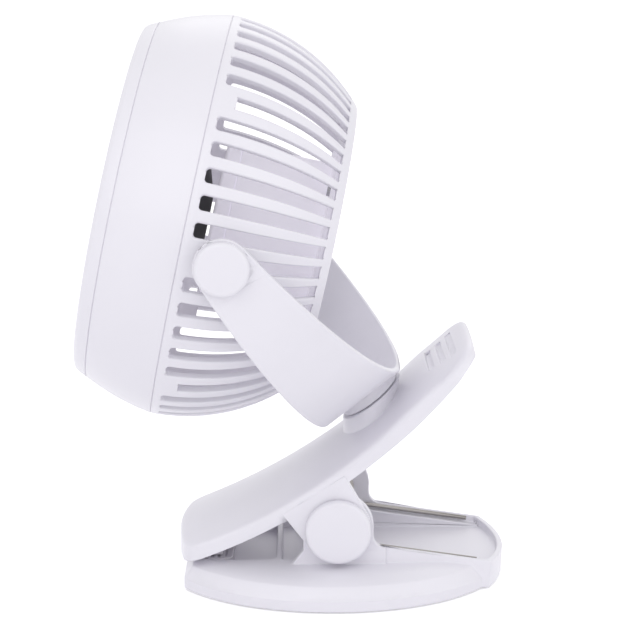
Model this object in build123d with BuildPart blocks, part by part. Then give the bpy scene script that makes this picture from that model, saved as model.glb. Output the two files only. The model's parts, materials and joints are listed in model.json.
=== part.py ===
from build123d import *
from math import atan, cos, hypot, pi, radians, sin, sqrt, tan
import os

# A small clip fan: a tilting round head in a semicircular yoke, which swivels on the upper jaw
# of a spring clamp with a flat foot.  Millimetres.  X runs along the clamp from the mouth (-X)
# to the finger lever (+X), +Z is up, and the origin is the centre of the foot's underside.
# The model is at rest: clamp closed, head facing the mouth end and tipped up a little.

os.makedirs("parts", exist_ok=True)

# ---------------------------------------------------------------- clearances and common stock
slip = 0.3                 # gap between faces that move past each other
snug = 0.1                 # gap between fitted pieces of one body
running = 0.05             # radial gap of a pin in a bore that turns on it
wall = 2.0                 # moulded wall thickness

# ---------------------------------------------------------------- foot, tray and fixed jaw
foot_mouth_reach = 57.25    # from the origin to the foot's straight end
foot_lever_reach = 57.9     # from the origin to the foot's round end
foot_half_width = 45.8
foot_axis_x = -4.0         # centre of the foot's ellipse
foot_corner = 3.5          # plan radius of the two corners at the mouth end
pad_proud = 0.6            # how far the rubber feet stand below the shell
band_height = 4.5          # upright lower band of the foot
shoulder_height = 9.0      # crease above the leaning shoulder
shoulder_inset = 3.0
deck_height = 10.3
deck_inset = 8.0
tray_half_width = 23.6     # outside of the tray's side walls
tray_inner_half = 22.2
tray_floor = 7.6
rim_near_hinge = 16.4      # height of the tray's rim beside the hinge
rim_slope = 0.147          # fall of the rim per millimetre towards the lever end
rim_start_x = 13.5
tray_end_x = 11.7          # centre of the tray's round end
tray_end_radius = 46.2     # of its outside at the foot's lower edge
tray_end_lean = 0.05       # how far the end wall leans out for each millimetre upwards
tray_end_wall = 2.2
ledge_half_width = 19.8    # inner edge of the ledges that carry the spring legs
bay_end_x = -22.4          # mouth side end of the hinge bay
pocket_inset = 7.25        # from the foot's mouth end to the pocket below the moving jaw
pocket_end_x = -24.4
pocket_half_width = 20.0
pocket_floor = 6.6
cover_thickness = 1.8
cavity_roof = 5.2
foot_pad_radius = 5.0
foot_pad_recess = 0.8
foot_pad_spacing = (88.0, 32.0)
cover_screw_spacing = (64.0, 50.0)
cover_screw_radius = 1.25
cover_screw_head_radius = 2.7
cover_screw_length = 6.0
screw_boss_radius = 3.2
lower_pad_length = 9.9
lower_pad_top = 10.6

# ---------------------------------------------------------------- hinge
hinge_x = -2.5
hinge_z = 24.0
pin_radius = 2.5
base_ear_radius = 12.6
base_ear_outer = 25.0
base_ear_left_x = -14.8
ear_chamfer_run = 4.0
ear_flare = 4.4            # hollow corner between the ear and the tray's rim
cap_radius = 11.6
cap_thickness = 2.7
spring_wire_radius = 0.75
spring_mean_radius = 6.0
spring_turns = 5
spring_pitch = 2.1
spring_leg_end_x = 47.0
spring_arm_direction = 48.0  # the short leg points this way, in degrees from +X towards +Z
spring_arm_length = 12.8
spring_side_gap = 0.3      # free gap between the spring's leg and the tray wall

# ---------------------------------------------------------------- moving jaw
jaw_bend_x = -134.9        # centre of the long bend of the jaw, seen from the side
jaw_bend_z = 227.0
jaw_bend_radius = 224.7    # top of the jaw at its side edges
jaw_crown_radius = 140.0   # crosswise crown of the top
jaw_skirt = 5.1            # depth of the side skirt
jaw_overhang = 2.35        # how far the jaw's tip stands out past the foot
jaw_tip_bow = 3.6
jaw_tip_half_width = 26.6
jaw_tip_corner = 8.0
jaw_mid_x = -18.0
jaw_half_width = 27.95
jaw_edge_fillet = 2.0
lever_start_x = 24.0       # from here on its sides run straight
lever_half_width = 27.3
lever_corner = 9.0         # its end seen along the slanting end face
lever_end_x = 46.6         # lower edge of the slanting end face
lever_end_z = 82.8
lever_end_lean = 26.6      # of the end face from upright
jaw_ear_inner = base_ear_outer + slip
jaw_ear_outer = 28.2
jaw_ear_radius = 11.9
jaw_ear_left = (-21.9, 29.9)
jaw_ear_right = (-0.3, 44.1)
jaw_pad_inset = 3.25       # from the foot's mouth end to the jaw's rubber pad
jaw_pad_length = 10.5
jaw_pad_half_width = 17.0
jaw_pad_top = 14.0
jaw_pad_bottom = 10.9
grip_centre_x = (30.2, 33.9, 37.4)
grip_length = (23.0, 26.0, 29.0)
grip_width = 2.8
grip_depth = 1.1

# ---------------------------------------------------------------- yoke and its swivel
swivel_x = 9.763           # the swivel's parting line on its axis
swivel_z = 65.511
yoke_lean = 51.83          # slope of the line from the swivel up to the tilt pivot
yoke_gap = 0.4             # between the band and the furthest point of the turning head
yoke_wall = 2.3
arm_end_radius = 9.3
yoke_bottom_front = 17.1   # half widths of the band at its foot, front and rear edges
yoke_bottom_rear = 16.0
yoke_front_corner = 3.5
yoke_rear_corner = 1.2
swivel_disc_height = 2.96
swivel_disc_radius = 11.64
collar_radius = 12.9
spigot_radius = 6.0
collar_height = 8.7        # from the parting line straight down into the jaw's top plate
sleeve_depth = 8.88
spigot_depth = 9.18
swivel_washer_radius = 8.6
swivel_washer_thickness = 1.0
swivel_head_radius = 3.6
swivel_head_height = 1.8
swivel_screw_radius = 2.0

# ---------------------------------------------------------------- tilt pivots
pad_proud_of_band = 0.34   # how far the pads round the pivots stand out from the band
pad_thickness = 4.0
pivot_pad_radius = 8.9
pivot_bush_radius = 2.9
pivot_head_radius = 4.6
pivot_cap_radius = 8.7
pivot_cap_thickness = 2.7
stub_radius = 6.2
stub_gap = 0.8             # between the head's stub and the yoke's pad
stub_length = 7.7
washer_thickness = 0.6
pivot_thread_radius = 1.5
pivot_thread_length = 4.7
pivot_head_height = 1.3
cross_width = 0.9          # slots of the cross recess in a screw head

# ---------------------------------------------------------------- head shells
head_tilt = 12.36
seam_radius = 71.0         # widest ring, where the rear cover meets the middle shell
seam_s = 13.97             # places along the head's axis, forwards from the pivot
bezel_seam_radius = 63.34
bezel_seam_s = 38.13
front_radius = 60.95       # where the bezel's leaning side would meet its flat front
front_s = 43.3
front_rounding = 3.4
bezel_bore_rounding = 1.0
rear_radius = 49.42
rear_s = -34.25
rear_bulge = 5.5           # outward bow of the rear cover's side
mid_bulge = 1.0
shell_wall = 2.2
seam_groove = 0.24
bezel_rim = 5.55           # from there in to the bezel's bore
slot_count = 50
slot_front_s = 11.0
slot_short_s = 6.2
slot_rear_s = -31.3
slot_front_half = 2.42
slot_rear_half = 1.9
slot_corner = 1.2
short_slot_index = 6       # slots this many places from each pivot start later
rear_opening_radius = 29.4
rear_corner = 1.6
lip_wall = 1.4
lip_taper = 0.9            # how far the cover narrows along the lip
lip_length = 2.4

# ---------------------------------------------------------------- inside the head
housing_radius = 28.0
housing_front_s = 1.5
housing_wall = 1.8
motor_cap_front_s = 6.9
motor_radius = 17.0
motor_rear_s = -12.0
shaft_radius = 1.5
blade_clearance = 4.0      # between the blade tips and the narrowest part of the middle shell
blade_rear_s = 13.2
blade_depth = 18.0
hub_gap = 1.3              # between the motor's cap and the hub
hub_inset = 0.5            # how much the hub is narrower than the motor housing
hub_depth = 19.0
hub_rounding = 5.0
blade_count = 5
panel_recess = 0.7
board_thickness = 1.6
button_radius = 4.5
button_travel = 0.8
button_offset = 14.0
socket_offset = 15.0
socket_width = 8.0
socket_height = 2.9
socket_depth = 5.6
lens_radius = 1.2
switch_height = 2.0
button_proud = 1.0
button_flange = 0.8
flange_radius = 35.0
housing_screw_circle = 31.6
housing_screw_radius = 1.0
cap_slit = 0.2
blade_bow = 3.0
blade_thickness = 1.5
blade_root_chord = 21.0
blade_root_pitch = 48.0
blade_mid_chord = 30.0
blade_mid_pitch = 35.0
blade_tip_chord = 38.0
blade_tip_pitch = 26.0

# ---------------------------------------------------------------- front grille
grille_thickness = 2.4
grille_front_s = 41.8
spoke_count = 40
spoke_width = 1.5
badge_radius = 13.5
badge_height = 1.0
grille_rebate = 1.9        # width of the bezel's step that seats the grille
ring_radii = (25.0, 40.0)

# ================================================================ derived places
foot_half_length = foot_lever_reach - foot_axis_x
foot_end_x = -foot_mouth_reach
foot_length = foot_mouth_reach + foot_lever_reach
past_end_x = foot_lever_reach + 5    # just beyond the lever end of the foot
tall = 60.0                          # past every height of the foot and its ears
ledge_drop = 2 * spring_wire_radius + 1.0
pocket_start_x = foot_end_x + pocket_inset
lower_pad_end_x = pocket_start_x + snug + lower_pad_length
jaw_tip_x = foot_end_x - jaw_overhang
jaw_tip_corner_x = jaw_tip_x + jaw_tip_bow
jaw_pad_start_x = foot_end_x + jaw_pad_inset
jaw_pad_end_x = jaw_pad_start_x + jaw_pad_length
down_dir = Vector(cos(radians(yoke_lean)), 0, -sin(radians(yoke_lean)))
across_dir = Vector(sin(radians(yoke_lean)), 0, cos(radians(yoke_lean)))

# The bezel's rounded front edge is the furthest the head reaches from its tilt pivot
bezel_start_s = bezel_seam_s + seam_groove / 2
bezel_lean = atan((bezel_seam_radius - front_radius) / (front_s - bezel_start_s))
bezel_edge_radius = front_radius - front_rounding / tan(pi / 4 + bezel_lean / 2)
head_reach = max(hypot(bezel_edge_radius, front_s - front_rounding) + front_rounding, hypot(seam_radius, seam_s))
bezel_inner_radius = front_radius - bezel_rim
grille_radius = bezel_inner_radius + grille_rebate
impeller_radius = bezel_seam_radius - shell_wall - blade_clearance
hub_radius = housing_radius - hub_inset

# The yoke clears the head, and the swivel on the jaw fixes where the tilt pivot comes
yoke_radius = head_reach + yoke_gap + yoke_wall
swivel_gap_distance = yoke_radius + swivel_disc_height
sleeve_end_distance = swivel_gap_distance + sleeve_depth
spigot_end_distance = swivel_gap_distance + spigot_depth
pivot_pad_outer = yoke_radius + pad_proud_of_band
pivot_pad_inner = pivot_pad_outer - pad_thickness
pivot_cap_face = pivot_pad_outer + pivot_cap_thickness
stub_face = pivot_pad_inner - stub_gap
stub_inner = stub_face - stub_length
pivot_thread_end = stub_face - pivot_thread_length
pivot_point = Vector(swivel_x, 0, swivel_z) - down_dir * swivel_gap_distance
pivot_x = pivot_point.X
pivot_z = pivot_point.Z
front_dir = Vector(-cos(radians(head_tilt)), 0, sin(radians(head_tilt)))
up_dir = Vector(sin(radians(head_tilt)), 0, cos(radians(head_tilt)))
near_dir = Vector(0, -1, 0)
head_axis = Axis(pivot_point, front_dir)
head_section = Plane(origin=pivot_point, x_dir=up_dir, z_dir=near_dir)
head_plane = Plane(origin=pivot_point, x_dir=up_dir, z_dir=front_dir)
swivel_plane = Plane(origin=pivot_point, x_dir=across_dir, z_dir=down_dir)
swivel_section = Plane(origin=pivot_point, x_dir=across_dir, z_dir=across_dir.cross(down_dir))
swivel_axis = Axis(pivot_point, down_dir)


def side_plates(sketch, inner, outer):
    """Extrude a side-view sketch into a pair of plates, one on each side of the middle."""
    for start in (inner, -outer):
        extrude(Plane.XZ.offset(start) * sketch, amount=outer - inner)


def side_discs(centre_x, centre_z, radius, inner, outer, mode=Mode.ADD):
    """A pair of discs square to Y, one on each side of the middle."""
    for start in (inner, -outer):
        with BuildSketch(Plane(origin=(centre_x, -start, centre_z), x_dir=(1, 0, 0), z_dir=near_dir)) as disc:
            Circle(radius)
        extrude(disc.sketch, amount=outer - inner, mode=mode)


def foot_outline(height, inset):
    """The foot's plan: an ellipse with its mouth end cut straight."""
    with BuildSketch(Plane.XY.offset(height)) as outline:
        with Locations((foot_axis_x, 0)):
            Ellipse(foot_half_length - inset, foot_half_width - inset)
        with Locations((foot_end_x + inset, 0)):
            Rectangle(2 * foot_length, 2 * foot_length, align=(Align.MIN, Align.CENTER), mode=Mode.INTERSECT)
        fillet(outline.vertices(), foot_corner)
    return outline.sketch


def tray_outline(height, inset):
    """The plan of the tray's round end at this height, wide open towards the mouth."""
    radius = tray_end_radius + tray_end_lean * (height - pad_proud) - inset
    with BuildSketch(Plane.XY.offset(height)) as outline:
        with Locations((tray_end_x, 0)):
            Circle(radius)
            Rectangle(foot_length, 2 * radius, align=(Align.MAX, Align.CENTER))
    return outline.sketch


def rim_height(x):
    return rim_near_hinge - rim_slope * (x - rim_start_x)


def jaw_surface_radius(y):
    """Distance of the jaw's crowned top from the bend's centre line, at this place across."""
    return jaw_bend_radius - (jaw_half_width ** 2 - y * y) / (2 * jaw_crown_radius)


def jaw_top_z(x, y=0.0):
    return jaw_bend_z - sqrt(jaw_surface_radius(y) ** 2 - (x - jaw_bend_x) ** 2)


def jaw_outline(inset):
    """The jaw's plan: blunt at the tip, open past the lever's end."""
    side = [
        (jaw_tip_corner_x + inset, jaw_tip_half_width - inset),
        (jaw_mid_x, jaw_half_width - inset),
        (lever_start_x, lever_half_width - inset),
        (2 * lever_end_x, lever_half_width - inset),
    ]
    with BuildSketch() as outline:
        with BuildLine():
            for flip in (1, -1):
                points = [(x, flip * y) for x, y in side]
                Spline(points[:3], tangents=[(1, 0.06 * flip), (1, 0)])
                Line(points[2], points[3])
            Line(side[3], (side[3][0], -side[3][1]))
            ThreePointArc(side[0], (jaw_tip_x + inset, 0), (side[0][0], -side[0][1]))
        make_face()
        fillet(outline.vertices().sort_by(Axis.X)[:2], jaw_tip_corner)
    return outline.sketch


def lever_end(inset):
    """Everything on the mouth side of the lever's end, whose round corners follow its slant."""
    slant = tan(radians(lever_end_lean))
    foot_x = lever_end_x + lever_end_z * slant - inset / cos(radians(lever_end_lean))
    with BuildPart(mode=Mode.PRIVATE) as body:
        with BuildSketch():
            with Locations((foot_x, 0)):
                RectangleRounded(
                    4 * foot_length, 2 * (lever_half_width - inset), lever_corner - inset,
                    align=(Align.MAX, Align.CENTER),
                )
        extrude(amount=2 * pivot_z, dir=(-slant, 0, 1))
    with BuildPart(mode=Mode.PRIVATE) as mouth_side:
        add(body.part)
        with BuildSketch():
            with Locations((lever_start_x, 0)):
                Rectangle(4 * foot_length, 4 * jaw_half_width, align=(Align.MAX, Align.CENTER))
        extrude(amount=2 * pivot_z)
    return mouth_side.part


jaw_section_plane = Plane(origin=(jaw_bend_x, 0, jaw_bend_z), x_dir=(0, 1, 0), z_dir=(-1, 0, 0))
jaw_bend_axis = Axis((jaw_bend_x, 0, jaw_bend_z), (0, -1, 0))
jaw_reach = 32.0           # half width of the crosswise section before the plan trims it
jaw_sweep_degrees = 62.0


def jaw_sweep(drop, depth):
    """The jaw's crowned section carried round its long bend, as a private solid."""
    with BuildPart(mode=Mode.PRIVATE) as body:
        with BuildSketch(jaw_section_plane):
            with BuildLine():
                edge = jaw_surface_radius(jaw_reach) + drop
                foot = jaw_bend_radius + depth
                ThreePointArc((-jaw_reach, edge), (0, jaw_surface_radius(0) + drop), (jaw_reach, edge))
                Polyline((jaw_reach, edge), (jaw_reach, foot), (-jaw_reach, foot), (-jaw_reach, edge))
            make_face()
        revolve(axis=jaw_bend_axis, revolution_arc=jaw_sweep_degrees)
    return body.part


# ================================================================ base
# Tray behind the hinge: straight sides, round end, and a rim that falls towards the lever end
with BuildPart() as tray:
    with BuildSketch(Plane.XZ):
        with BuildLine():
            Polyline(
                (hinge_x, pad_proud), (past_end_x, pad_proud), (past_end_x, rim_height(past_end_x)),
                (hinge_x, rim_height(hinge_x)), close=True,
            )
        make_face()
    extrude(amount=tray_half_width, both=True)
    loft([tray_outline(pad_proud, 0), tray_outline(tall, 0)], mode=Mode.INTERSECT)

# Hollow of the tray and of the hinge bay, with ledges for the spring legs
with BuildPart() as tray_hollow:
    with BuildSketch(Plane.XY.offset(tray_floor)):
        with Locations((bay_end_x, 0)):
            Rectangle(foot_length, 2 * ledge_half_width, align=(Align.MIN, Align.CENTER))
    extrude(amount=tall)
    with BuildSketch(Plane.XZ):
        with BuildLine():
            Polyline(
                (bay_end_x, rim_height(bay_end_x) - ledge_drop), (past_end_x, rim_height(past_end_x) - ledge_drop),
                (past_end_x, tall), (bay_end_x, tall), close=True,
            )
        make_face()
    extrude(amount=tray_inner_half, both=True)
    loft([tray_outline(pad_proud, tray_end_wall), tray_outline(tall, tray_end_wall)], mode=Mode.INTERSECT)

with BuildPart() as base_shell:
    # Solid foot: upright band, leaning shoulder, flat deck
    extrude(foot_outline(pad_proud, 0), amount=band_height - pad_proud)
    loft([foot_outline(band_height, 0), foot_outline(shoulder_height, shoulder_inset)], ruled=True)
    loft([foot_outline(shoulder_height, shoulder_inset), foot_outline(deck_height, deck_inset)], ruled=True)
    add(tray.part)
    # Ears that carry the hinge pin, flush with the tray's walls and a little proud outside
    ear_top = hinge_z + base_ear_radius
    ear_right_x = hinge_x + base_ear_radius
    with BuildSketch(mode=Mode.PRIVATE) as ear:
        with BuildLine():
            Line((base_ear_left_x - ear_chamfer_run, pocket_floor), (base_ear_left_x - ear_chamfer_run, deck_height))
            Line((base_ear_left_x - ear_chamfer_run, deck_height), (base_ear_left_x, deck_height + 5))
            Line((base_ear_left_x, deck_height + 5), (base_ear_left_x, hinge_z))
            ThreePointArc((base_ear_left_x, hinge_z), (hinge_x, ear_top), (ear_right_x, hinge_z - 1))
            Line((ear_right_x, hinge_z - 1), (ear_right_x, rim_near_hinge + ear_flare))
            ThreePointArc(
                (ear_right_x, rim_near_hinge + ear_flare),
                (ear_right_x + 0.3 * ear_flare, rim_near_hinge + 0.3 * ear_flare),
                (ear_right_x + ear_flare, rim_height(ear_right_x + ear_flare)),
            )
            Line(
                (ear_right_x + ear_flare, rim_height(ear_right_x + ear_flare)),
                (ear_right_x + ear_flare, pocket_floor),
            )
            Line((ear_right_x + ear_flare, pocket_floor), (base_ear_left_x - ear_chamfer_run, pocket_floor))
        make_face()
    side_plates(ear.sketch, tray_inner_half, base_ear_outer)
    add(tray_hollow.part, mode=Mode.SUBTRACT)
    # Pocket in the deck below the moving jaw
    with BuildSketch(Plane.XY.offset(pocket_floor)):
        with Locations(((pocket_start_x + pocket_end_x) / 2, 0)):
            RectangleRounded(pocket_end_x - pocket_start_x, 2 * pocket_half_width, foot_corner)
    extrude(amount=tall, mode=Mode.SUBTRACT)
    # Underside: recess for the bottom cover and the hollow above it
    extrude(foot_outline(pad_proud, wall), amount=cover_thickness + snug, mode=Mode.SUBTRACT)
    extrude(foot_outline(pad_proud, 2 * wall), amount=cavity_roof - pad_proud, mode=Mode.SUBTRACT)
    # Bosses that take the cover screws
    with BuildSketch(Plane.XY.offset(cavity_roof)):
        with GridLocations(*cover_screw_spacing, 2, 2):
            Circle(screw_boss_radius)
    extrude(amount=-(cavity_roof - pad_proud - cover_thickness - snug))
    with BuildSketch(Plane.XY.offset(pad_proud)):
        with GridLocations(*cover_screw_spacing, 2, 2):
            Circle(cover_screw_radius + running)
    extrude(amount=cover_screw_length + snug, mode=Mode.SUBTRACT)
    side_discs(hinge_x, hinge_z, pin_radius + 0.02, tray_inner_half - 1, base_ear_outer + 1, mode=Mode.SUBTRACT)
base_shell.part.label = "base_shell"
export_step(base_shell.part, "parts/base_shell.step")

foot_pad_places = GridLocations(*foot_pad_spacing, 2, 2).local_locations + [Location((0, 0))]
with BuildPart() as base_cover:
    extrude(foot_outline(pad_proud, wall + snug), amount=cover_thickness)
    with BuildSketch(Plane.XY.offset(pad_proud)):
        with Locations(foot_pad_places):
            Circle(foot_pad_radius + snug)
    extrude(amount=foot_pad_recess, mode=Mode.SUBTRACT)
    with Locations(Plane.XY.offset(pad_proud)):
        with GridLocations(*cover_screw_spacing, 2, 2):
            Cylinder(cover_screw_radius + snug, 4 * wall, mode=Mode.SUBTRACT)
            Cone(
                cover_screw_head_radius + snug, cover_screw_radius + snug, cover_thickness - 0.3,
                align=(Align.CENTER, Align.CENTER, Align.MIN), mode=Mode.SUBTRACT,
            )
base_cover.part.label = "base_cover"
export_step(base_cover.part, "parts/base_cover.step")

with BuildPart() as foot_pads:
    with Locations(foot_pad_places):
        Cylinder(foot_pad_radius, pad_proud + foot_pad_recess, align=(Align.CENTER, Align.CENTER, Align.MIN))
foot_pads.part.label = "foot_pads"
export_step(foot_pads.part, "parts/foot_pads.step")

with BuildPart() as cover_screws:
    with Locations(Plane.XY.offset(pad_proud)):
        with GridLocations(*cover_screw_spacing, 2, 2):
            Cylinder(cover_screw_radius, cover_screw_length, align=(Align.CENTER, Align.CENTER, Align.MIN))
            Cone(
                cover_screw_head_radius, cover_screw_radius, cover_thickness - 0.3,
                align=(Align.CENTER, Align.CENTER, Align.MIN),
            )
            # Cross recess in the head
            Box(3.0, 0.7, 1.6, mode=Mode.SUBTRACT)
            Box(0.7, 3.0, 1.6, mode=Mode.SUBTRACT)
cover_screws.part.label = "cover_screws"
export_step(cover_screws.part, "parts/cover_screws.step")

with BuildPart() as lower_grip_pad:
    with BuildSketch(Plane.XY.offset(pocket_floor)):
        with Locations(((pocket_start_x + snug + lower_pad_end_x) / 2, 0)):
            RectangleRounded(
                lower_pad_end_x - pocket_start_x - snug, 2 * (pocket_half_width - snug),
                foot_corner - snug,
            )
    extrude(amount=lower_pad_top - pocket_floor)
    # Cross ribs on the gripping face
    with BuildSketch(Plane.XY.offset(lower_pad_top)):
        with Locations(((pocket_start_x + lower_pad_end_x) / 2, 0)):
            with GridLocations(2.4, 1, 3, 1):
                Rectangle(0.9, 2 * pocket_half_width - 4)
    extrude(amount=-0.7, mode=Mode.SUBTRACT)
lower_grip_pad.part.label = "lower_grip_pad"
export_step(lower_grip_pad.part, "parts/lower_grip_pad.step")

# ================================================================ hinge pin, caps and springs
cap_inner = jaw_ear_outer + slip
pin_end = cap_inner + 0.8
with BuildPart() as hinge_pin:
    with BuildSketch(Plane(origin=(hinge_x, pin_end, hinge_z), x_dir=(1, 0, 0), z_dir=near_dir)):
        Circle(pin_radius)
    extrude(amount=2 * pin_end)
    chamfer(hinge_pin.faces().filter_by(Axis.Y).edges(), 0.4)
hinge_pin.part.label = "hinge_pin"
export_step(hinge_pin.part, "parts/hinge_pin.step")


def side_cap(centre_x, centre_z, radius, inner, outer, side, socket_radius, socket_end):
    """A round cap with a soft outer edge, on one side (-1 is near, 1 is far) of the middle."""
    base_plane = Plane(origin=(centre_x, side * inner, centre_z), x_dir=(1, 0, 0), z_dir=(0, side, 0))
    with BuildPart() as cap:
        with BuildSketch(base_plane):
            Circle(radius)
        extrude(amount=outer - inner)
        fillet(cap.faces().filter_by(Axis.Y).sort_by(Axis.Y)[-1 if side > 0 else 0].edges(), 1.0)
        with BuildSketch(base_plane):
            Circle(socket_radius)
        extrude(amount=socket_end - inner, mode=Mode.SUBTRACT)
    return cap.part


for side_name, side in (("near", -1), ("far", 1)):
    hinge_cap = side_cap(
        hinge_x, hinge_z, cap_radius, cap_inner, cap_inner + cap_thickness, side, pin_radius + 0.02, pin_end + 0.2
    )
    hinge_cap.label = f"hinge_cap_{side_name}"
    export_step(hinge_cap, f"parts/hinge_cap_{side_name}.step")


def biarc(start, start_dir, end, end_dir):
    """Two arcs that join the points with the given directions, one smooth curve."""
    chord = end - start
    turn = start_dir + end_dir
    a = 2 * (1 - start_dir.dot(end_dir))
    b = 2 * chord.dot(turn)
    d = (-b + sqrt(b * b + 4 * a * chord.dot(chord))) / (2 * a)
    joint = (start + start_dir * d + end - end_dir * d) * 0.5
    joint_dir = (end - end_dir * d - start - start_dir * d).normalized()
    return [
        Edge.make_tangent_arc(start, start_dir, joint),
        Edge.make_tangent_arc(joint, joint_dir, end),
    ]


spring_outer_y = tray_inner_half - spring_side_gap - spring_wire_radius
leg_slope = atan(rim_slope)
leg_angle = -pi / 2 - leg_slope                          # where the long leg leaves the coil
arm_angle = radians(spring_arm_direction) + pi / 2       # where the short arm leaves it
coil_turn = leg_angle - arm_angle + 2 * pi * (spring_turns + 1)


def coil_point(turned, side):
    """A point of the coil, which winds clockwise in the side view and inwards along the pin."""
    angle = leg_angle - turned
    y = side * (spring_outer_y - spring_pitch * turned / (2 * pi))
    return Vector(hinge_x + spring_mean_radius * cos(angle), y, hinge_z + spring_mean_radius * sin(angle))


def coil_direction(turned, side):
    angle = leg_angle - turned
    inward = -side * spring_pitch / (2 * pi)
    return Vector(spring_mean_radius * sin(angle), inward, -spring_mean_radius * cos(angle)).normalized()


def torsion_spring(side):
    """Coil round the hinge pin, a long leg along the tray wall and a short arm under the jaw."""
    quarters = round(coil_turn / (pi / 2))
    points = [coil_point(coil_turn * k / quarters, side) for k in range(quarters + 1)]
    directions = [coil_direction(coil_turn * k / quarters, side) for k in range(quarters + 1)]
    # The straight ends lie square to the pin
    for k in (0, -1):
        directions[k] = Vector(directions[k].X, 0, directions[k].Z).normalized()
    leg_length = (spring_leg_end_x - points[0].X) / cos(leg_slope)
    edges = [Edge.make_line(points[0] - directions[0] * leg_length, points[0])]
    for k in range(quarters):
        edges += biarc(points[k], directions[k], points[k + 1], directions[k + 1])
    edges.append(Edge.make_line(points[-1], points[-1] + directions[-1] * spring_arm_length))
    with BuildPart() as spring:
        path = Wire(edges)
        with BuildSketch(Plane(origin=path @ 0, z_dir=path % 0)):
            Circle(spring_wire_radius)
        sweep(path=path)
    return spring.part, path


for side_name, side in (("near", -1), ("far", 1)):
    torsion, torsion_path = torsion_spring(side)
    torsion.label = f"torsion_spring_{side_name}"
    export_step(torsion, f"parts/torsion_spring_{side_name}.step")
    turns = [coil_point(coil_turn * k / 400, side) for k in range(401)]
    per_turn = round(400 * 2 * pi / coil_turn)
    least = min(
        (turns[k] - turns[m]).length
        for k in range(0, 401, 2) for m in range(k + per_turn // 2, 401)
    ) - 2 * spring_wire_radius
    section_volume = pi * spring_wire_radius ** 2 * torsion_path.length
    print(
        f"torsion spring {side_name}: wire {torsion_path.length:.1f} mm long, least gap to itself {least:.2f} mm,"
        f" volume {torsion.volume:.1f} against section times length {section_volume:.1f}"
    )

# ================================================================ moving jaw
with BuildPart() as jaw_blank:
    extrude(jaw_outline(0), amount=2 * pivot_z)
    add(lever_end(0), mode=Mode.INTERSECT)
    add(jaw_sweep(0, jaw_skirt), mode=Mode.INTERSECT)
    crown_face = jaw_blank.faces().filter_by(GeomType.TORUS)[0]
    fillet(crown_face.edges(), jaw_edge_fillet)

with BuildPart() as jaw_cavity:
    extrude(jaw_outline(wall), amount=2 * pivot_z)
    add(lever_end(wall), mode=Mode.INTERSECT)
    add(jaw_sweep(wall, 4 * jaw_skirt), mode=Mode.INTERSECT)
    # The tip stays solid where the rubber pad is seated
    with BuildSketch(Plane.XZ):
        with Locations((jaw_pad_end_x, 0)):
            Rectangle(foot_length, 4 * pivot_z, align=(Align.MAX, Align.CENTER))
    extrude(amount=jaw_reach, both=True, mode=Mode.SUBTRACT)

with BuildPart() as jaw_shell:
    add(jaw_blank.part)
    add(jaw_cavity.part, mode=Mode.SUBTRACT)
    # Ears that turn on the hinge pin, outside the ears of the foot
    with BuildSketch(mode=Mode.PRIVATE) as jaw_ear:
        with BuildLine():
            CenterArc((hinge_x, hinge_z), jaw_ear_radius, 0, 360)
            Polyline(jaw_ear_left, jaw_ear_right)
        make_hull()
    side_plates(jaw_ear.sketch, jaw_ear_inner, jaw_ear_outer)
    # Collar and inner sleeve that carry the yoke's spigot
    with BuildSketch(swivel_plane.offset(swivel_gap_distance + slip)):
        Circle(collar_radius)
    extrude(amount=collar_height, dir=(0, 0, -1))
    with BuildSketch(swivel_plane.offset(swivel_gap_distance + slip)):
        Circle(spigot_radius + running + wall)
    extrude(amount=sleeve_end_distance - swivel_gap_distance - slip)
    with BuildSketch(swivel_plane.offset(swivel_gap_distance - slip)):
        Circle(spigot_radius + running)
    extrude(amount=spigot_end_distance - swivel_gap_distance + 2 * slip, mode=Mode.SUBTRACT)
    side_discs(hinge_x, hinge_z, pin_radius + running, jaw_ear_inner - 1, jaw_ear_outer + 1, mode=Mode.SUBTRACT)
    # Three finger grip recesses across the lever
    for centre_x, length in zip(grip_centre_x, grip_length):
        slope = atan((centre_x - jaw_bend_x) / (jaw_bend_z - jaw_top_z(centre_x)))
        normal = Vector(-sin(slope), 0, cos(slope))
        grip_plane = Plane(origin=(centre_x, 0, jaw_top_z(centre_x)), x_dir=(0, 1, 0), z_dir=normal)
        with BuildSketch(grip_plane.offset(-grip_depth)):
            RectangleRounded(length, grip_width, 0.8)
        extrude(amount=3 * grip_depth, mode=Mode.SUBTRACT)
    # Shallow seat for the rubber pad below the tip
    with BuildSketch(Plane.XY.offset(jaw_pad_top)):
        with Locations(((jaw_pad_start_x + jaw_pad_end_x) / 2, 0)):
            Rectangle(jaw_pad_end_x - jaw_pad_start_x, 2 * jaw_pad_half_width)
    extrude(amount=-3 * wall, mode=Mode.SUBTRACT)
jaw_shell.part.label = "jaw_shell"
export_step(jaw_shell.part, "parts/jaw_shell.step")

with BuildPart() as jaw_grip_pad:
    pad_plan_x = (jaw_pad_start_x + jaw_pad_end_x) / 2
    with BuildSketch(Plane.XY.offset(jaw_pad_top)):
        with Locations((pad_plan_x, 0)):
            Rectangle(jaw_pad_end_x - jaw_pad_start_x - 2 * snug, 2 * (jaw_pad_half_width - snug))
    extrude(amount=jaw_pad_bottom - jaw_pad_top)
    with BuildSketch(Plane.XY.offset(jaw_pad_bottom)):
        with Locations((pad_plan_x, 0)):
            with GridLocations(2.6, 1, 3, 1):
                Rectangle(1.0, 2 * jaw_pad_half_width - 4)
    extrude(amount=0.7, mode=Mode.SUBTRACT)
jaw_grip_pad.part.label = "jaw_grip_pad"
export_step(jaw_grip_pad.part, "parts/jaw_grip_pad.step")

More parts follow.
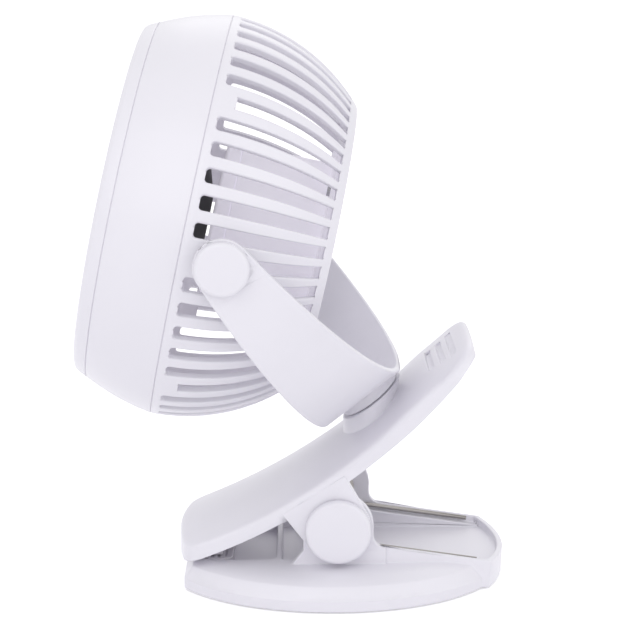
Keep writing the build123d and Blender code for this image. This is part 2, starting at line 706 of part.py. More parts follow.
# ================================================================ yoke and swivel
with BuildPart() as yoke:
    # Semicircular band about the tilt pivot, trimmed to the arms' side outline
    with BuildSketch(Plane(origin=pivot_point, x_dir=near_dir, z_dir=across_dir)):
        Circle(yoke_radius)
        Circle(yoke_radius - yoke_wall, mode=Mode.SUBTRACT)
    extrude(amount=yoke_radius, both=True)
    with BuildSketch(swivel_section, mode=Mode.PRIVATE) as arm_outline:
        with BuildLine():
            CenterArc((0, 0), arm_end_radius, 0, 360)
            Polyline((-yoke_bottom_front, yoke_radius), (yoke_bottom_rear, yoke_radius))
        make_hull()
        fillet(arm_outline.vertices().sort_by(Axis.Y)[-2:].sort_by(Axis.X)[0], yoke_front_corner)
        fillet(arm_outline.vertices().sort_by(Axis.Y)[-2:].sort_by(Axis.X)[1], yoke_rear_corner)
    extrude(arm_outline.sketch, amount=2 * yoke_radius, both=True, mode=Mode.INTERSECT)
    # Pads round the tilt pivots
    side_discs(pivot_x, pivot_z, pivot_pad_radius, pivot_pad_inner, pivot_pad_outer)
    side_discs(
        pivot_x, pivot_z, pivot_bush_radius + running, pivot_pad_inner - 1, pivot_pad_outer + 1, mode=Mode.SUBTRACT
    )
    # Disc and spigot of the swivel
    with BuildSketch(swivel_plane.offset(yoke_radius - yoke_wall / 2)):
        Circle(swivel_disc_radius)
    extrude(amount=swivel_gap_distance - yoke_radius + yoke_wall / 2)
    with BuildSketch(swivel_plane.offset(swivel_gap_distance)):
        Circle(spigot_radius)
    extrude(amount=spigot_end_distance - swivel_gap_distance)
    with BuildSketch(swivel_plane.offset(swivel_gap_distance)):
        Circle(swivel_screw_radius)
    extrude(amount=spigot_end_distance - swivel_gap_distance, mode=Mode.SUBTRACT)
yoke.part.label = "yoke"
export_step(yoke.part, "parts/yoke.step")

washer_end_distance = spigot_end_distance + swivel_washer_thickness
with BuildPart() as swivel_washer:
    with BuildSketch(swivel_plane.offset(spigot_end_distance)):
        Circle(swivel_washer_radius)
        Circle(swivel_screw_radius, mode=Mode.SUBTRACT)
    extrude(amount=swivel_washer_thickness)
swivel_washer.part.label = "swivel_washer"
export_step(swivel_washer.part, "parts/swivel_washer.step")

with BuildPart() as swivel_screw:
    with BuildSketch(swivel_plane.offset(swivel_gap_distance)):
        Circle(swivel_screw_radius)
    extrude(amount=washer_end_distance - swivel_gap_distance)
    with BuildSketch(swivel_plane.offset(washer_end_distance)):
        Circle(swivel_head_radius)
    extrude(amount=swivel_head_height)
    chamfer(swivel_screw.edges().sort_by(swivel_axis)[-1], 0.5)
    with BuildSketch(swivel_plane.offset(washer_end_distance + swivel_head_height)):
        Rectangle(4.4, cross_width)
        Rectangle(cross_width, 4.4)
    extrude(amount=-swivel_head_height * 0.6, mode=Mode.SUBTRACT)
swivel_screw.part.label = "swivel_screw"
export_step(swivel_screw.part, "parts/swivel_screw.step")

for side_name, side in (("near", -1), ("far", 1)):
    pivot_cap = side_cap(
        pivot_x, pivot_z, pivot_cap_radius, pivot_pad_outer, pivot_cap_face, side,
        pivot_head_radius + slip, pivot_cap_face - 1,
    )
    pivot_cap.label = f"pivot_cap_{side_name}"
    export_step(pivot_cap, f"parts/pivot_cap_{side_name}.step")

# ================================================================ tilt pivots of the head
with BuildPart() as pivot_screws:
    head_inner = pivot_pad_outer + snug
    side_discs(pivot_x, pivot_z, pivot_thread_radius, pivot_thread_end, stub_face)
    side_discs(pivot_x, pivot_z, pivot_bush_radius, stub_face, head_inner)
    side_discs(pivot_x, pivot_z, pivot_head_radius, head_inner, head_inner + pivot_head_height)
pivot_screws.part.label = "pivot_screws"
export_step(pivot_screws.part, "parts/pivot_screws.step")

with BuildPart() as pivot_washers:
    side_discs(pivot_x, pivot_z, stub_radius, stub_face, stub_face + washer_thickness)
    side_discs(
        pivot_x, pivot_z, pivot_bush_radius, stub_face - 1, stub_face + washer_thickness + 1, mode=Mode.SUBTRACT
    )
pivot_washers.part.label = "pivot_washers"
export_step(pivot_washers.part, "parts/pivot_washers.step")


# ================================================================ head shells
def bowed(start, end, bulge):
    """The middle point of an arc from start to end that bows outwards by bulge."""
    chord = Vector(end) - Vector(start)
    outward = Vector(chord.Y, -chord.X).normalized()
    return (Vector(start) + Vector(end)) / 2 + outward * bulge


def shell_region(start, end, bulge):
    """Half of a round solid's section: from the head's axis out to a bowed side."""
    with BuildSketch(head_section) as region:
        with BuildLine():
            Line((0, start[1]), start)
            ThreePointArc(start, bowed(start, end, bulge), end)
            Line(end, (0, end[1]))
            Line((0, end[1]), (0, start[1]))
        make_face()
    return region.sketch


def slot_plane(index):
    """A plane square to a radius of the head, at the place of this slot round the cover."""
    angle = 2 * pi * index / slot_count
    return Plane(origin=pivot_point, x_dir=front_dir, z_dir=near_dir * cos(angle) + up_dir * sin(angle))


def head_ring(outer, inner, start_s, end_s, mode=Mode.ADD):
    """A ring or, with no inner radius, a disc about the head's axis."""
    with BuildSketch(head_plane.offset(start_s), mode=Mode.PRIVATE) as ring:
        Circle(outer)
        if inner > 0:
            Circle(inner, mode=Mode.SUBTRACT)
    extrude(ring.sketch, amount=end_s - start_s, mode=mode)


seam_edge_s = seam_s - seam_groove / 2
inner_rear_s = rear_s + shell_wall
cover_wall = shell_wall * 1.1          # measured square to the axis on the sloping side
with BuildPart() as cover_hollow:
    revolve(
        shell_region((rear_radius - cover_wall, rear_s), (seam_radius - cover_wall, seam_s), rear_bulge),
        axis=head_axis,
    )
    head_ring(seam_radius, 0, inner_rear_s, seam_s, mode=Mode.INTERSECT)

with BuildPart() as rear_cover:
    revolve(shell_region((rear_radius, rear_s), (seam_radius, seam_edge_s), rear_bulge), axis=head_axis)
    fillet(rear_cover.edges().sort_by(head_axis)[0], rear_corner)
    add(cover_hollow.part, mode=Mode.SUBTRACT)
    head_ring(rear_opening_radius, 0, rear_s - 1, inner_rear_s + 1, mode=Mode.SUBTRACT)
    # Air slots all round, but for the two places of the tilt pivots
    for index in range(1, slot_count):
        from_pivot = index % (slot_count // 2)
        short = min(from_pivot, slot_count // 2 - from_pivot) == short_slot_index
        front_s_here = slot_short_s if short else slot_front_s
        if from_pivot != 0:
            with BuildSketch(slot_plane(index).offset(rear_radius / 2)) as slot:
                Polygon(
                    (front_s_here, slot_front_half), (slot_rear_s, slot_rear_half),
                    (slot_rear_s, -slot_rear_half), (front_s_here, -slot_front_half), align=None,
                )
                if not short:
                    fillet(slot.vertices().sort_by(Axis.X)[-2:], slot_corner)
    extrude(amount=seam_radius, mode=Mode.SUBTRACT)
    # Stubs for the tilt pivots, with holes for their screws
    side_discs(pivot_x, pivot_z, stub_radius, stub_inner, stub_face)
    side_discs(pivot_x, pivot_z, pivot_thread_radius, stub_inner - 1, stub_face + 1, mode=Mode.SUBTRACT)
    # Holes for the housing's screws
    with BuildSketch(head_plane.offset(rear_s + 0.8)):
        with PolarLocations(housing_screw_circle, 4, 45):
            Circle(housing_screw_radius)
    extrude(amount=shell_wall, mode=Mode.SUBTRACT)
rear_cover.part.label = "rear_cover"
export_step(rear_cover.part, "parts/rear_cover.step")

mid_start = (seam_radius, seam_s + seam_groove / 2)
mid_end = (bezel_seam_radius, bezel_seam_s - seam_groove / 2)
with BuildPart() as mid_shell:
    revolve(shell_region(mid_start, mid_end, mid_bulge), axis=head_axis)
    revolve(
        shell_region(
            (mid_start[0] - shell_wall, mid_start[1]), (mid_end[0] - shell_wall, mid_end[1]), mid_bulge
        ),
        axis=head_axis, mode=Mode.SUBTRACT,
    )
    # Lip that enters the rear cover, joined to the shell by a step
    lip_outer = seam_radius - cover_wall - 2 * snug - lip_taper
    head_ring(lip_outer, lip_outer - lip_wall, seam_s - lip_length, mid_start[1] + lip_wall)
    head_ring(seam_radius - 1, lip_outer - lip_wall, mid_start[1], mid_start[1] + lip_wall)
mid_shell.part.label = "mid_shell"
export_step(mid_shell.part, "parts/mid_shell.step")

with BuildPart() as front_bezel:
    with BuildSketch(head_section) as bezel_section:
        Polygon(
            (bezel_inner_radius, bezel_start_s), (bezel_seam_radius, bezel_start_s),
            (front_radius, front_s), (bezel_inner_radius, front_s), align=None,
        )
        fillet(bezel_section.vertices().sort_by(Axis.Y)[-2:].sort_by(Axis.X)[-1], front_rounding)
        fillet(bezel_section.vertices().sort_by(Axis.Y)[-2:].sort_by(Axis.X)[0], bezel_bore_rounding)
    revolve(axis=head_axis)
    bezel_lip_outer = mid_end[0] - shell_wall - 2 * snug
    head_ring(bezel_lip_outer, bezel_lip_outer - lip_wall, bezel_seam_s - lip_length, bezel_start_s + 1)
    # Rebate that seats the grille
    head_ring(grille_radius + snug, 0, bezel_seam_s - 2 * lip_length, grille_front_s, mode=Mode.SUBTRACT)
front_bezel.part.label = "front_bezel"
export_step(front_bezel.part, "parts/front_bezel.step")

# ================================================================ front grille
grille_back_s = grille_front_s - grille_thickness
with BuildPart() as front_grille:
    head_ring(grille_radius, bezel_inner_radius - 1, grille_back_s, grille_front_s)
    head_ring(badge_radius + 1, 0, grille_back_s, grille_front_s)
    for radius in ring_radii:
        head_ring(radius + spoke_width / 2, radius - spoke_width / 2, grille_back_s, grille_front_s)
    with BuildSketch(head_plane.offset(grille_back_s)):
        with PolarLocations((bezel_inner_radius + badge_radius) / 2, spoke_count):
            Rectangle(bezel_inner_radius - badge_radius, spoke_width)
    extrude(amount=grille_thickness)
front_grille.part.label = "front_grille"
export_step(front_grille.part, "parts/front_grille.step")

with BuildPart() as grille_badge:
    head_ring(badge_radius, 0, grille_front_s, grille_front_s + badge_height)
    fillet(grille_badge.edges().sort_by(head_axis)[-1], badge_height * 0.8)
grille_badge.part.label = "grille_badge"
export_step(grille_badge.part, "parts/grille_badge.step")

# ================================================================ inside the head
panel_rear_s = rear_s + panel_recess
board_rear_s = panel_rear_s + 0.2 + socket_depth
cap_inner_s = motor_cap_front_s - housing_wall
housing_bore = housing_radius - housing_wall
with BuildPart() as motor_housing:
    head_ring(housing_radius, housing_bore, inner_rear_s, housing_front_s)
    head_ring(flange_radius, housing_bore, inner_rear_s, inner_rear_s + housing_wall)
    with BuildSketch(head_plane.offset(inner_rear_s)):
        with PolarLocations(housing_screw_circle, 4, 45):
            Circle(housing_screw_radius + running)
    extrude(amount=housing_wall, mode=Mode.SUBTRACT)
motor_housing.part.label = "motor_housing"
export_step(motor_housing.part, "parts/motor_housing.step")

with BuildPart() as housing_screws:
    with BuildSketch(head_plane.offset(rear_s + 1)):
        with PolarLocations(housing_screw_circle, 4, 45):
            Circle(housing_screw_radius)
    extrude(amount=inner_rear_s + housing_wall - rear_s - 1)
    with BuildSketch(head_plane.offset(inner_rear_s + housing_wall)):
        with PolarLocations(housing_screw_circle, 4, 45):
            Circle(2 * housing_screw_radius)
    extrude(amount=housing_screw_radius)
housing_screws.part.label = "housing_screws"
export_step(housing_screws.part, "parts/housing_screws.step")

with BuildPart() as motor_cap:
    head_ring(housing_radius, 0, housing_front_s + cap_slit, motor_cap_front_s)
    fillet(motor_cap.edges().sort_by(head_axis)[-1], 1.2)
    head_ring(housing_bore, 0, housing_front_s + cap_slit - 1, cap_inner_s, mode=Mode.SUBTRACT)
    # Spigot that holds the cap in the housing
    head_ring(housing_bore - snug, housing_bore - housing_wall, housing_front_s - 3, cap_inner_s)
    head_ring(shaft_radius + 1, 0, cap_inner_s - 1, motor_cap_front_s + 1, mode=Mode.SUBTRACT)
motor_cap.part.label = "motor_cap"
export_step(motor_cap.part, "parts/motor_cap.step")

with BuildPart() as motor_can:
    head_ring(motor_radius, 0, motor_rear_s, cap_inner_s)
    fillet(motor_can.edges().sort_by(head_axis)[0], 1.5)
    head_ring(shaft_radius + running, 0, motor_rear_s + 2, cap_inner_s + 1, mode=Mode.SUBTRACT)
motor_can.part.label = "motor_can"
export_step(motor_can.part, "parts/motor_can.step")

with BuildPart() as circuit_board:
    head_ring(housing_bore - snug, 0, board_rear_s, board_rear_s + board_thickness)
    # Flat components on the motor side
    with BuildSketch(head_plane.offset(board_rear_s + board_thickness)):
        Rectangle(7, 7)
        with Locations((12, 8), (-12, 8)):
            Rectangle(5, 4)
        with Locations((10, -10), (-9, -12)):
            Circle(3)
    extrude(amount=1.6)
circuit_board.part.label = "circuit_board"
export_step(circuit_board.part, "parts/circuit_board.step")

button_up = (button_offset, 0)         # places on the panel, upwards and sideways from its middle
socket_up = (-socket_offset, 0)
lens_up = (0, 0)
switch_face_s = board_rear_s - switch_height
flange_start_s = inner_rear_s + slip
stem_end_s = switch_face_s - button_travel - 0.2
with BuildPart() as rear_panel:
    head_ring(rear_opening_radius - snug, 0, panel_rear_s, inner_rear_s)
    with BuildSketch(head_plane.offset(panel_rear_s)):
        with Locations(button_up):
            Circle(button_radius + slip)
        with Locations(socket_up):
            RectangleRounded(socket_height + 2 * snug, socket_width + 2 * snug, socket_height / 2)
        with Locations(lens_up):
            Circle(lens_radius)
    extrude(amount=inner_rear_s - panel_rear_s, mode=Mode.SUBTRACT)
    # Posts that hold the board
    with BuildSketch(head_plane.offset(inner_rear_s)):
        with PolarLocations(20, 4, 45):
            Circle(2)
    extrude(amount=board_rear_s - inner_rear_s)
rear_panel.part.label = "rear_panel"
export_step(rear_panel.part, "parts/rear_panel.step")

with BuildPart() as usb_socket:
    with BuildSketch(head_plane.offset(board_rear_s)):
        with Locations(socket_up):
            RectangleRounded(socket_height, socket_width, socket_height / 2 - 0.05)
    extrude(amount=-socket_depth)
    with BuildSketch(head_plane.offset(board_rear_s - socket_depth)):
        with Locations(socket_up):
            RectangleRounded(socket_height - 0.6, socket_width - 0.6, socket_height / 2 - 0.35)
            Rectangle(0.8, socket_width - 2, mode=Mode.SUBTRACT)
    extrude(amount=socket_depth - 0.8, mode=Mode.SUBTRACT)
usb_socket.part.label = "usb_socket"
export_step(usb_socket.part, "parts/usb_socket.step")

with BuildPart() as indicator_lens:
    with BuildSketch(head_plane.offset(panel_rear_s)):
        with Locations(lens_up):
            Circle(lens_radius)
    extrude(amount=board_rear_s - panel_rear_s)
indicator_lens.part.label = "indicator_lens"
export_step(indicator_lens.part, "parts/indicator_lens.step")

with BuildPart() as push_switch:
    with BuildSketch(head_plane.offset(board_rear_s)):
        with Locations(button_up):
            Rectangle(6, 6)
    extrude(amount=-switch_height)
push_switch.part.label = "push_switch"
export_step(push_switch.part, "parts/push_switch.step")

with BuildPart() as power_button:
    with BuildSketch(head_plane.offset(panel_rear_s - button_proud)):
        with Locations(button_up):
            Circle(button_radius)
    extrude(amount=flange_start_s + button_flange - panel_rear_s + button_proud)
    fillet(power_button.edges().sort_by(head_axis)[0], 0.5)
    with BuildSketch(head_plane.offset(flange_start_s)):
        with Locations(button_up):
            Circle(button_radius + 1.2)
    extrude(amount=button_flange)
    with BuildSketch(head_plane.offset(flange_start_s + button_flange)):
        with Locations(button_up):
            Circle(1.5)
    extrude(amount=stem_end_s - flange_start_s - button_flange)
power_button.part.label = "power_button"
export_step(power_button.part, "parts/power_button.step")

# ================================================================ impeller
hub_rear_s = motor_cap_front_s + hub_gap
hub_front_s = hub_rear_s + hub_depth
with BuildPart() as motor_shaft:
    head_ring(shaft_radius, 0, motor_rear_s + 3, hub_front_s - 3)
motor_shaft.part.label = "motor_shaft"
export_step(motor_shaft.part, "parts/motor_shaft.step")


def blade_section(index, distance, chord, pitch_degrees):
    """A thin bowed blade section on a plane square to a radius of the head."""
    angle = 2 * pi * index / blade_count + 0.3
    plane = Plane(
        origin=pivot_point + front_dir * (blade_rear_s + blade_depth / 2)
        + (near_dir * cos(angle) + up_dir * sin(angle)) * distance,
        x_dir=front_dir * sin(radians(pitch_degrees))
        + (up_dir * cos(angle) - near_dir * sin(angle)) * cos(radians(pitch_degrees)),
        z_dir=near_dir * cos(angle) + up_dir * sin(angle),
    )
    with BuildSketch(plane) as section:
        with BuildLine():
            ThreePointArc((-chord / 2, 0), (0, blade_bow + blade_thickness), (chord / 2, 0))
            ThreePointArc((-chord / 2, 0), (0, blade_bow), (chord / 2, 0))
        make_face()
    return section.sketch


with BuildPart() as hub:
    head_ring(hub_radius, 0, hub_rear_s, hub_front_s)
    fillet(hub.edges().sort_by(head_axis)[-1], hub_rounding)

with BuildPart() as impeller:
    for index in range(blade_count):
        loft([
            blade_section(index, hub_radius - 3, blade_root_chord, blade_root_pitch),
            blade_section(index, (hub_radius + impeller_radius) / 2, blade_mid_chord, blade_mid_pitch),
            blade_section(index, impeller_radius + 2, blade_tip_chord, blade_tip_pitch),
        ])
    head_ring(impeller_radius, 0, blade_rear_s, blade_rear_s + blade_depth, mode=Mode.INTERSECT)
    # Hub: a round-fronted cup with a boss on the shaft
    add(hub.part)
    head_ring(hub_radius - wall, shaft_radius + wall, hub_rear_s - 1, hub_front_s - 3, mode=Mode.SUBTRACT)
    head_ring(shaft_radius, 0, hub_rear_s - 1, hub_front_s - 3, mode=Mode.SUBTRACT)
impeller.part.label = "impeller"
export_step(impeller.part, "parts/impeller.step")
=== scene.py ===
import json
from math import asin, atan2, cos, hypot, pi, radians, sin, tan
import bpy
from mathutils import Matrix, Vector


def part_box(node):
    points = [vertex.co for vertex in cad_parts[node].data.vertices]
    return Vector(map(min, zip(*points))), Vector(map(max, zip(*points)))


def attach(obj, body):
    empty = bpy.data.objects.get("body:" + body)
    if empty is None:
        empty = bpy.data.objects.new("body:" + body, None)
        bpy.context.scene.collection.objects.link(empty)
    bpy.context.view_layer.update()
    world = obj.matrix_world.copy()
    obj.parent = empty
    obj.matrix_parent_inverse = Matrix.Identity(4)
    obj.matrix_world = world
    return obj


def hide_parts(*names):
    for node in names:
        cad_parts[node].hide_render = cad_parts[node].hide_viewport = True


# Looks for a white clip fan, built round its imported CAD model.  Metres, in the model's own frame.
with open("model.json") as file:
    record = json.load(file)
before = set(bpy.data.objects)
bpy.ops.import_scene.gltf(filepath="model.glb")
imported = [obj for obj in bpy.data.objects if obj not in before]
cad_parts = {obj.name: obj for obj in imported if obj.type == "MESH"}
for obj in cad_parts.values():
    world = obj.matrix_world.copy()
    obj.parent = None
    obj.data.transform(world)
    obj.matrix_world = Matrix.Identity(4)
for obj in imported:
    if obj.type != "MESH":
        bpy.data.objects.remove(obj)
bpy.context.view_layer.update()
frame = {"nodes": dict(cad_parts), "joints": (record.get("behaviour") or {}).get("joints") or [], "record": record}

# ================================================================ places taken from the frame
joints = {joint["name"]: joint for joint in frame["joints"]}
SIDE = Vector((0, -1, 0))                                  # towards the camera
PIVOT = Vector(joints["tilt"]["pos_m"])
FRONT = Vector(joints["impeller_spin"]["axis"])            # along the head's axis, forwards
UP = SIDE.cross(FRONT).normalized() * -1                   # square to it, upwards
HINGE = Vector(joints["clip_open"]["pos_m"])
SWIVEL_SEAT = Vector(joints["swivel"]["pos_m"])
SWIVEL_DOWN = Vector(joints["swivel"]["axis"]) * -1        # along the swivel, down into the jaw

# ================================================================ sizes
# In the head, a name that ends in _R is a distance from the head's axis, and one that ends in _S
# is a distance along it, forwards from the tilt pivot.
MERGE = 1e-6               # points nearer to each other than this become one
CAD_MERGE = 2e-6           # the same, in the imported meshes
CAD_SHARP = 35             # degrees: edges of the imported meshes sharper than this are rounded
SAME = 1e-6                # places that differ by less than this count as one
RING_STEPS = 256           # steps round a shell of the head
BAR_STEPS = 160            # round a ring of the grille
DISC_STEPS = 96            # round a small disc

# Shells of the head
SHELL = 0.0022             # wall
SHELL_EDGE = 0.0002        # soft edge along a seam
INNER_SHARE = 0.6          # share of the wall past which a face is the shell's inside
SEAM_R = 0.071             # seam between the rear cover and the mid shell
SEAM_S = 0.01397
SEAM_GAP = 0.00024         # width of a seam's groove
LIP = 0.0004               # how deep that groove is
REAR_R = 0.04942           # back edge of the rear cover
REAR_S = -0.03425
REAR_BOW = 0.0055          # how far the cover bows out of a cone
REAR_CORNER = 0.0018
CORNER_GAP = 0.0004        # least distance from the back edge's rounding to the row before it
OPENING_R = 0.0294         # opening in the back
BEZEL_R = 0.06334          # seam between the mid shell and the front ring
BEZEL_S = 0.03825
BEZEL_BORE = 0.0554
BORE_ROUNDING = 0.0010
MID_BOW = 0.0010
FRONT_R = 0.06095          # front edge of the front ring
FRONT_S = 0.0433
FRONT_ROUNDING = 0.0034

# Slots of the rear cover
SLOTS = 50
SLOT_FRONT_S = 0.0110
SLOT_SHORT_S = 0.0062      # where a short slot begins
SLOT_PIVOT_S = -0.0108     # the slot behind each pivot begins past the boss
SLOT_REAR_S = -0.0313
SLOT_FRONT_HALF = 0.00242  # half of a slot's width at its front
SLOT_REAR_HALF = 0.0019
SLOT_CORNER = 0.0012
SLOT_SOFT = 0.00065        # rounding along the two long edges of a slot
SHORT_INDEX = 6            # the short slots, counted from each pivot
ROW_GAP = 0.0005           # least distance of the cover's other rows from those at a slot's ends

# Impeller
HUB_R = 0.0274
HUB_REAR_S = 0.0083
HUB_FRONT_S = 0.0271
HUB_DOME_R = 0.0085        # the hub's rear falls away outside this radius
HUB_DOME_ROUNDING = 0.004
HUB_RIM_S = 0.0140
HUB_RIM_ROUNDING = 0.001
HUB_ROUNDING = 0.0050
BLADES = 5
BLADE_TURN = 0.3           # where the first blade stands
BLADE_MIDDLE_S = 0.0222
BLADE_ROOT_R = HUB_R - 0.002
BLADE_TIP_R = 0.0570
BLADE_CHORD = 0.0215       # at the root
BLADE_CHORD_GAIN = 0.0155  # from the root to the tip
BLADE_PITCH = 47           # degrees at the root
BLADE_TWIST = (-27, 6)     # degrees: how the pitch changes with the way out, and with its square
BLADE_BOW = 0.0034
BLADE_WALL = 0.0012
BLADE_SOFT = 0.0004

# Grille
GRILLE_R = 0.0573
GRILLE_BACK_S = 0.0394
GRILLE_FRONT_S = 0.0418
GRILLE_RIM_BORE = BEZEL_BORE - 0.0010
GRILLE_RINGS = (0.0250, 0.0400)
GRILLE_SOFT = 0.00045
SPOKES = 40
SPOKE_WIDTH = 0.0015
SPOKE_END_R = BEZEL_BORE - 0.0004
BADGE_R = 0.0135
BADGE_HEIGHT = 0.0010
BADGE_ROUNDING = 0.0008
MIDDLE_R = BADGE_R + 0.0010    # the closed middle, which carries the badge

# Round side caps and the pivot
CAP_SOFT = 0.0014
CAP_FOOT_SOFT = 0.0002
PIVOT_SEAT_R = 0.00895     # the yoke's edges round the pivot stay sharp inside this radius

# Jaw.  Its top follows a long bend and is crowned across.  Depth is measured from the bend's
# radius down into the jaw; "along" is the length of arc, which grows towards the lever's end.
JAW_BEND = Vector((-0.1349, 0, 0.2270))    # centre of the bend
JAW_TOP_R = 0.2247
JAW_HALF = 0.02795         # half of its width
JAW_CROWN_R = 0.140
EAR_PROUD = 0.0281         # what lies further out than this is an ear's outer face
EAR_LEVEL = 0.02797        # where that face is brought in to, level with the skirt
EAR_PATCH_Y = 0.0279       # an ear lies on the skirt outside this
EAR_PATCH_DEPTH = 0.0049   # and above this depth
COLLAR_CLEAR = 0.0003      # what stands this far above the crown is the collar
COLLAR_TOP = 0.0003        # below the swivel's seat, along the swivel
COLLAR_BAND = 0.00012      # how near to that height the collar's top lies
COLLAR_HALF = 0.01414      # how far it reaches in y
COLLAR_RISE = 0.00016
SWELL = 0.0015             # how far the crown swells below the yoke
SWELL_DEPTH = 0.007        # deeper points stay
SWELL_STARTS = (-0.040, -0.008)    # x
SWELL_ENDS = (0.004, 0.024)        # x

# Lever, the jaw's rear
LEVER_STARTS = (0.008, 0.022)      # x
LEVER_END = (0.022, 0.042)         # x
LEVER_CROWN = 0.0026       # how far the crown stands above the bend's radius
END_SLANT = 0.45           # how the lever's end leans with depth
END_SHIFT = 0.0011         # how much longer the end is
END_FLAT = 0.0019          # how far the crown sinks at the end
LEVER_RISE = 0.00080       # how far the top rises
END_SINKS = 0.0014         # and how far it sinks again at the end
END_SINKS_OVER = (0.026, 0.044)    # x
TOP_SKIN = (0.0005, 0.0045)        # depth over which the top's own moves fade
GRIP_SHIFTS = (            # how far the finger grips move along, and over which stretch
    (0.0024, (-0.1522, -0.1455)),
    (-0.0029, (-0.1685, -0.1495)),
)
CORNER_START = 0.010       # y where the end's rounded corners begin
CORNER_WIDTH = 0.0173
CORNER_PULL = 0.0056       # how far a corner is drawn in at the top
CORNER_PULL_LESS = 0.0054  # and how much less below
CORNER_DEPTH = (-0.002, 0.005)
SKIRT_CUT = 0.12           # share of the skirt's depth taken off at the end, and again below
SKIRT_CUT_OVER = (-0.156, -0.1465)     # along, where the second cut begins


# ================================================================ mesh helpers
def pick(*pieces):
    """Selects these pieces alone, the last one active, in object mode."""
    if bpy.context.object and bpy.context.object.mode != "OBJECT":
        bpy.ops.object.mode_set(mode="OBJECT")
    bpy.ops.object.select_all(action="DESELECT")
    for piece in pieces:
        piece.select_set(True)
    if pieces:
        bpy.context.view_layer.objects.active = pieces[-1]


def merge_points():
    """Joins the points that meet, turns the faces outwards and leaves edit mode."""
    bpy.ops.mesh.select_all(action="SELECT")
    bpy.ops.mesh.remove_doubles(threshold=MERGE)
    bpy.ops.mesh.normals_make_consistent(inside=False)
    bpy.ops.object.mode_set(mode="OBJECT")


def spoke_at(turn):
    """The direction away from the head's axis at this angle from the near side, upwards."""
    return SIDE * cos(turn) + UP * sin(turn)


def smooth(piece, angle=40):
    """Smooth shading, with the edges sharper than the angle kept crisp."""
    pick(piece)
    bpy.ops.object.shade_smooth_by_angle(angle=radians(angle))
    return piece


def bevelled(piece, width, angle, segments=3, weighted=False):
    """Rounds a piece's sharp edges and keeps its broad faces flat."""
    smooth(piece, angle)
    soft = piece.modifiers.new("soft edges", "BEVEL")
    soft.width = width
    soft.segments = segments
    soft.limit_method = "WEIGHT" if weighted else "ANGLE"
    soft.angle_limit = radians(angle)
    soft.use_clamp_overlap = False
    soft.harden_normals = True
    soft.miter_outer = "MITER_ARC"
    bpy.ops.object.modifier_apply(modifier=soft.name)
    return piece


def spun(name, path, steps, origin=PIVOT, axis=FRONT, side=SIDE):
    """A point drawn out along a path of (radius, distance along the axis), then spun round."""
    spots = [origin + side * radius + axis * along for radius, along in path]
    pick()
    bpy.ops.mesh.primitive_plane_add(size=0.001)
    piece = bpy.context.object
    piece.name = piece.data.name = name
    bpy.ops.object.mode_set(mode="EDIT")
    bpy.ops.mesh.select_mode(type="VERT")
    bpy.ops.mesh.select_all(action="SELECT")
    bpy.ops.mesh.merge(type="CENTER")
    bpy.ops.transform.translate(value=spots[0])
    for here, ahead in zip(spots, spots[1:]):
        bpy.ops.mesh.extrude_region_move(TRANSFORM_OT_translate={"value": ahead - here})
    bpy.ops.mesh.select_all(action="SELECT")
    bpy.ops.mesh.spin(
        steps=steps, angle=2 * pi, center=origin, axis=axis, use_auto_merge=True,
    )
    merge_points()
    return smooth(piece)


def turned_copy(piece, turn):
    """A copy of a piece with a mesh of its own, turned round the head's axis."""
    another = piece.copy()
    another.data = piece.data.copy()
    another.data.transform(
        Matrix.Translation(PIVOT) @ Matrix.Rotation(turn, 4, FRONT) @ Matrix.Translation(-PIVOT)
    )
    bpy.context.scene.collection.objects.link(another)
    return another


def softened(node, width, flat=0.1, where=None, reshape=None):
    """A node's own form with its sharp edges rounded and its curved faces smooth.

    Flat is the angle under which faces are joined into one, where says which edges are rounded
    by both their ends, and reshape moves the points first.
    """
    piece = frame["nodes"][node].copy()
    piece.data = piece.data.copy()
    piece.name = piece.data.name = node + "_soft"
    bpy.context.scene.collection.objects.link(piece)
    if reshape:
        for corner in piece.data.vertices:
            corner.co = reshape(corner.co)
    pick(piece)
    bpy.ops.object.mode_set(mode="EDIT")
    bpy.ops.mesh.select_all(action="SELECT")
    bpy.ops.mesh.remove_doubles(threshold=CAD_MERGE)
    if flat:
        bpy.ops.mesh.dissolve_limited(angle_limit=radians(flat))
    bpy.ops.mesh.normals_make_consistent(inside=False)
    bpy.ops.mesh.select_all(action="DESELECT")
    bpy.ops.mesh.select_mode(type="EDGE")
    bpy.ops.mesh.edges_select_sharp(sharpness=radians(CAD_SHARP))
    bpy.ops.object.mode_set(mode="OBJECT")
    if not width:
        return smooth(piece, CAD_SHARP)
    if where:
        mesh = piece.data
        rounding = mesh.attributes.new("bevel_weight_edge", "FLOAT", "EDGE")
        for edge in mesh.edges:
            a, b = (mesh.vertices[i].co for i in edge.vertices)
            rounding.data[edge.index].value = float(edge.select and where(a) and where(b))
    return bevelled(piece, width, CAD_SHARP, weighted=bool(where))


def rounded(corners, steps, closed=False):
    """A 2-D path through corners given as (a, b, radius), each turned into an arc."""
    path = []
    count = len(corners)
    for i, (a, b, radius) in enumerate(corners):
        corner = Vector((a, b))
        if radius == 0 or (not closed and i in (0, count - 1)):
            path.append(corner)
            continue
        back = (Vector(corners[i - 1][:2]) - corner).normalized()
        ahead = (Vector(corners[(i + 1) % count][:2]) - corner).normalized()
        half = back.angle(ahead) / 2
        centre = corner + (back + ahead).normalized() * (radius / sin(half))
        start = corner + back * (radius / tan(half)) - centre
        end = corner + ahead * (radius / tan(half)) - centre
        turn = start.angle_signed(end)
        for k in range(steps + 1):
            spin = Matrix.Rotation(-turn * k / steps, 2)
            path.append(centre + spin @ start)
    return path


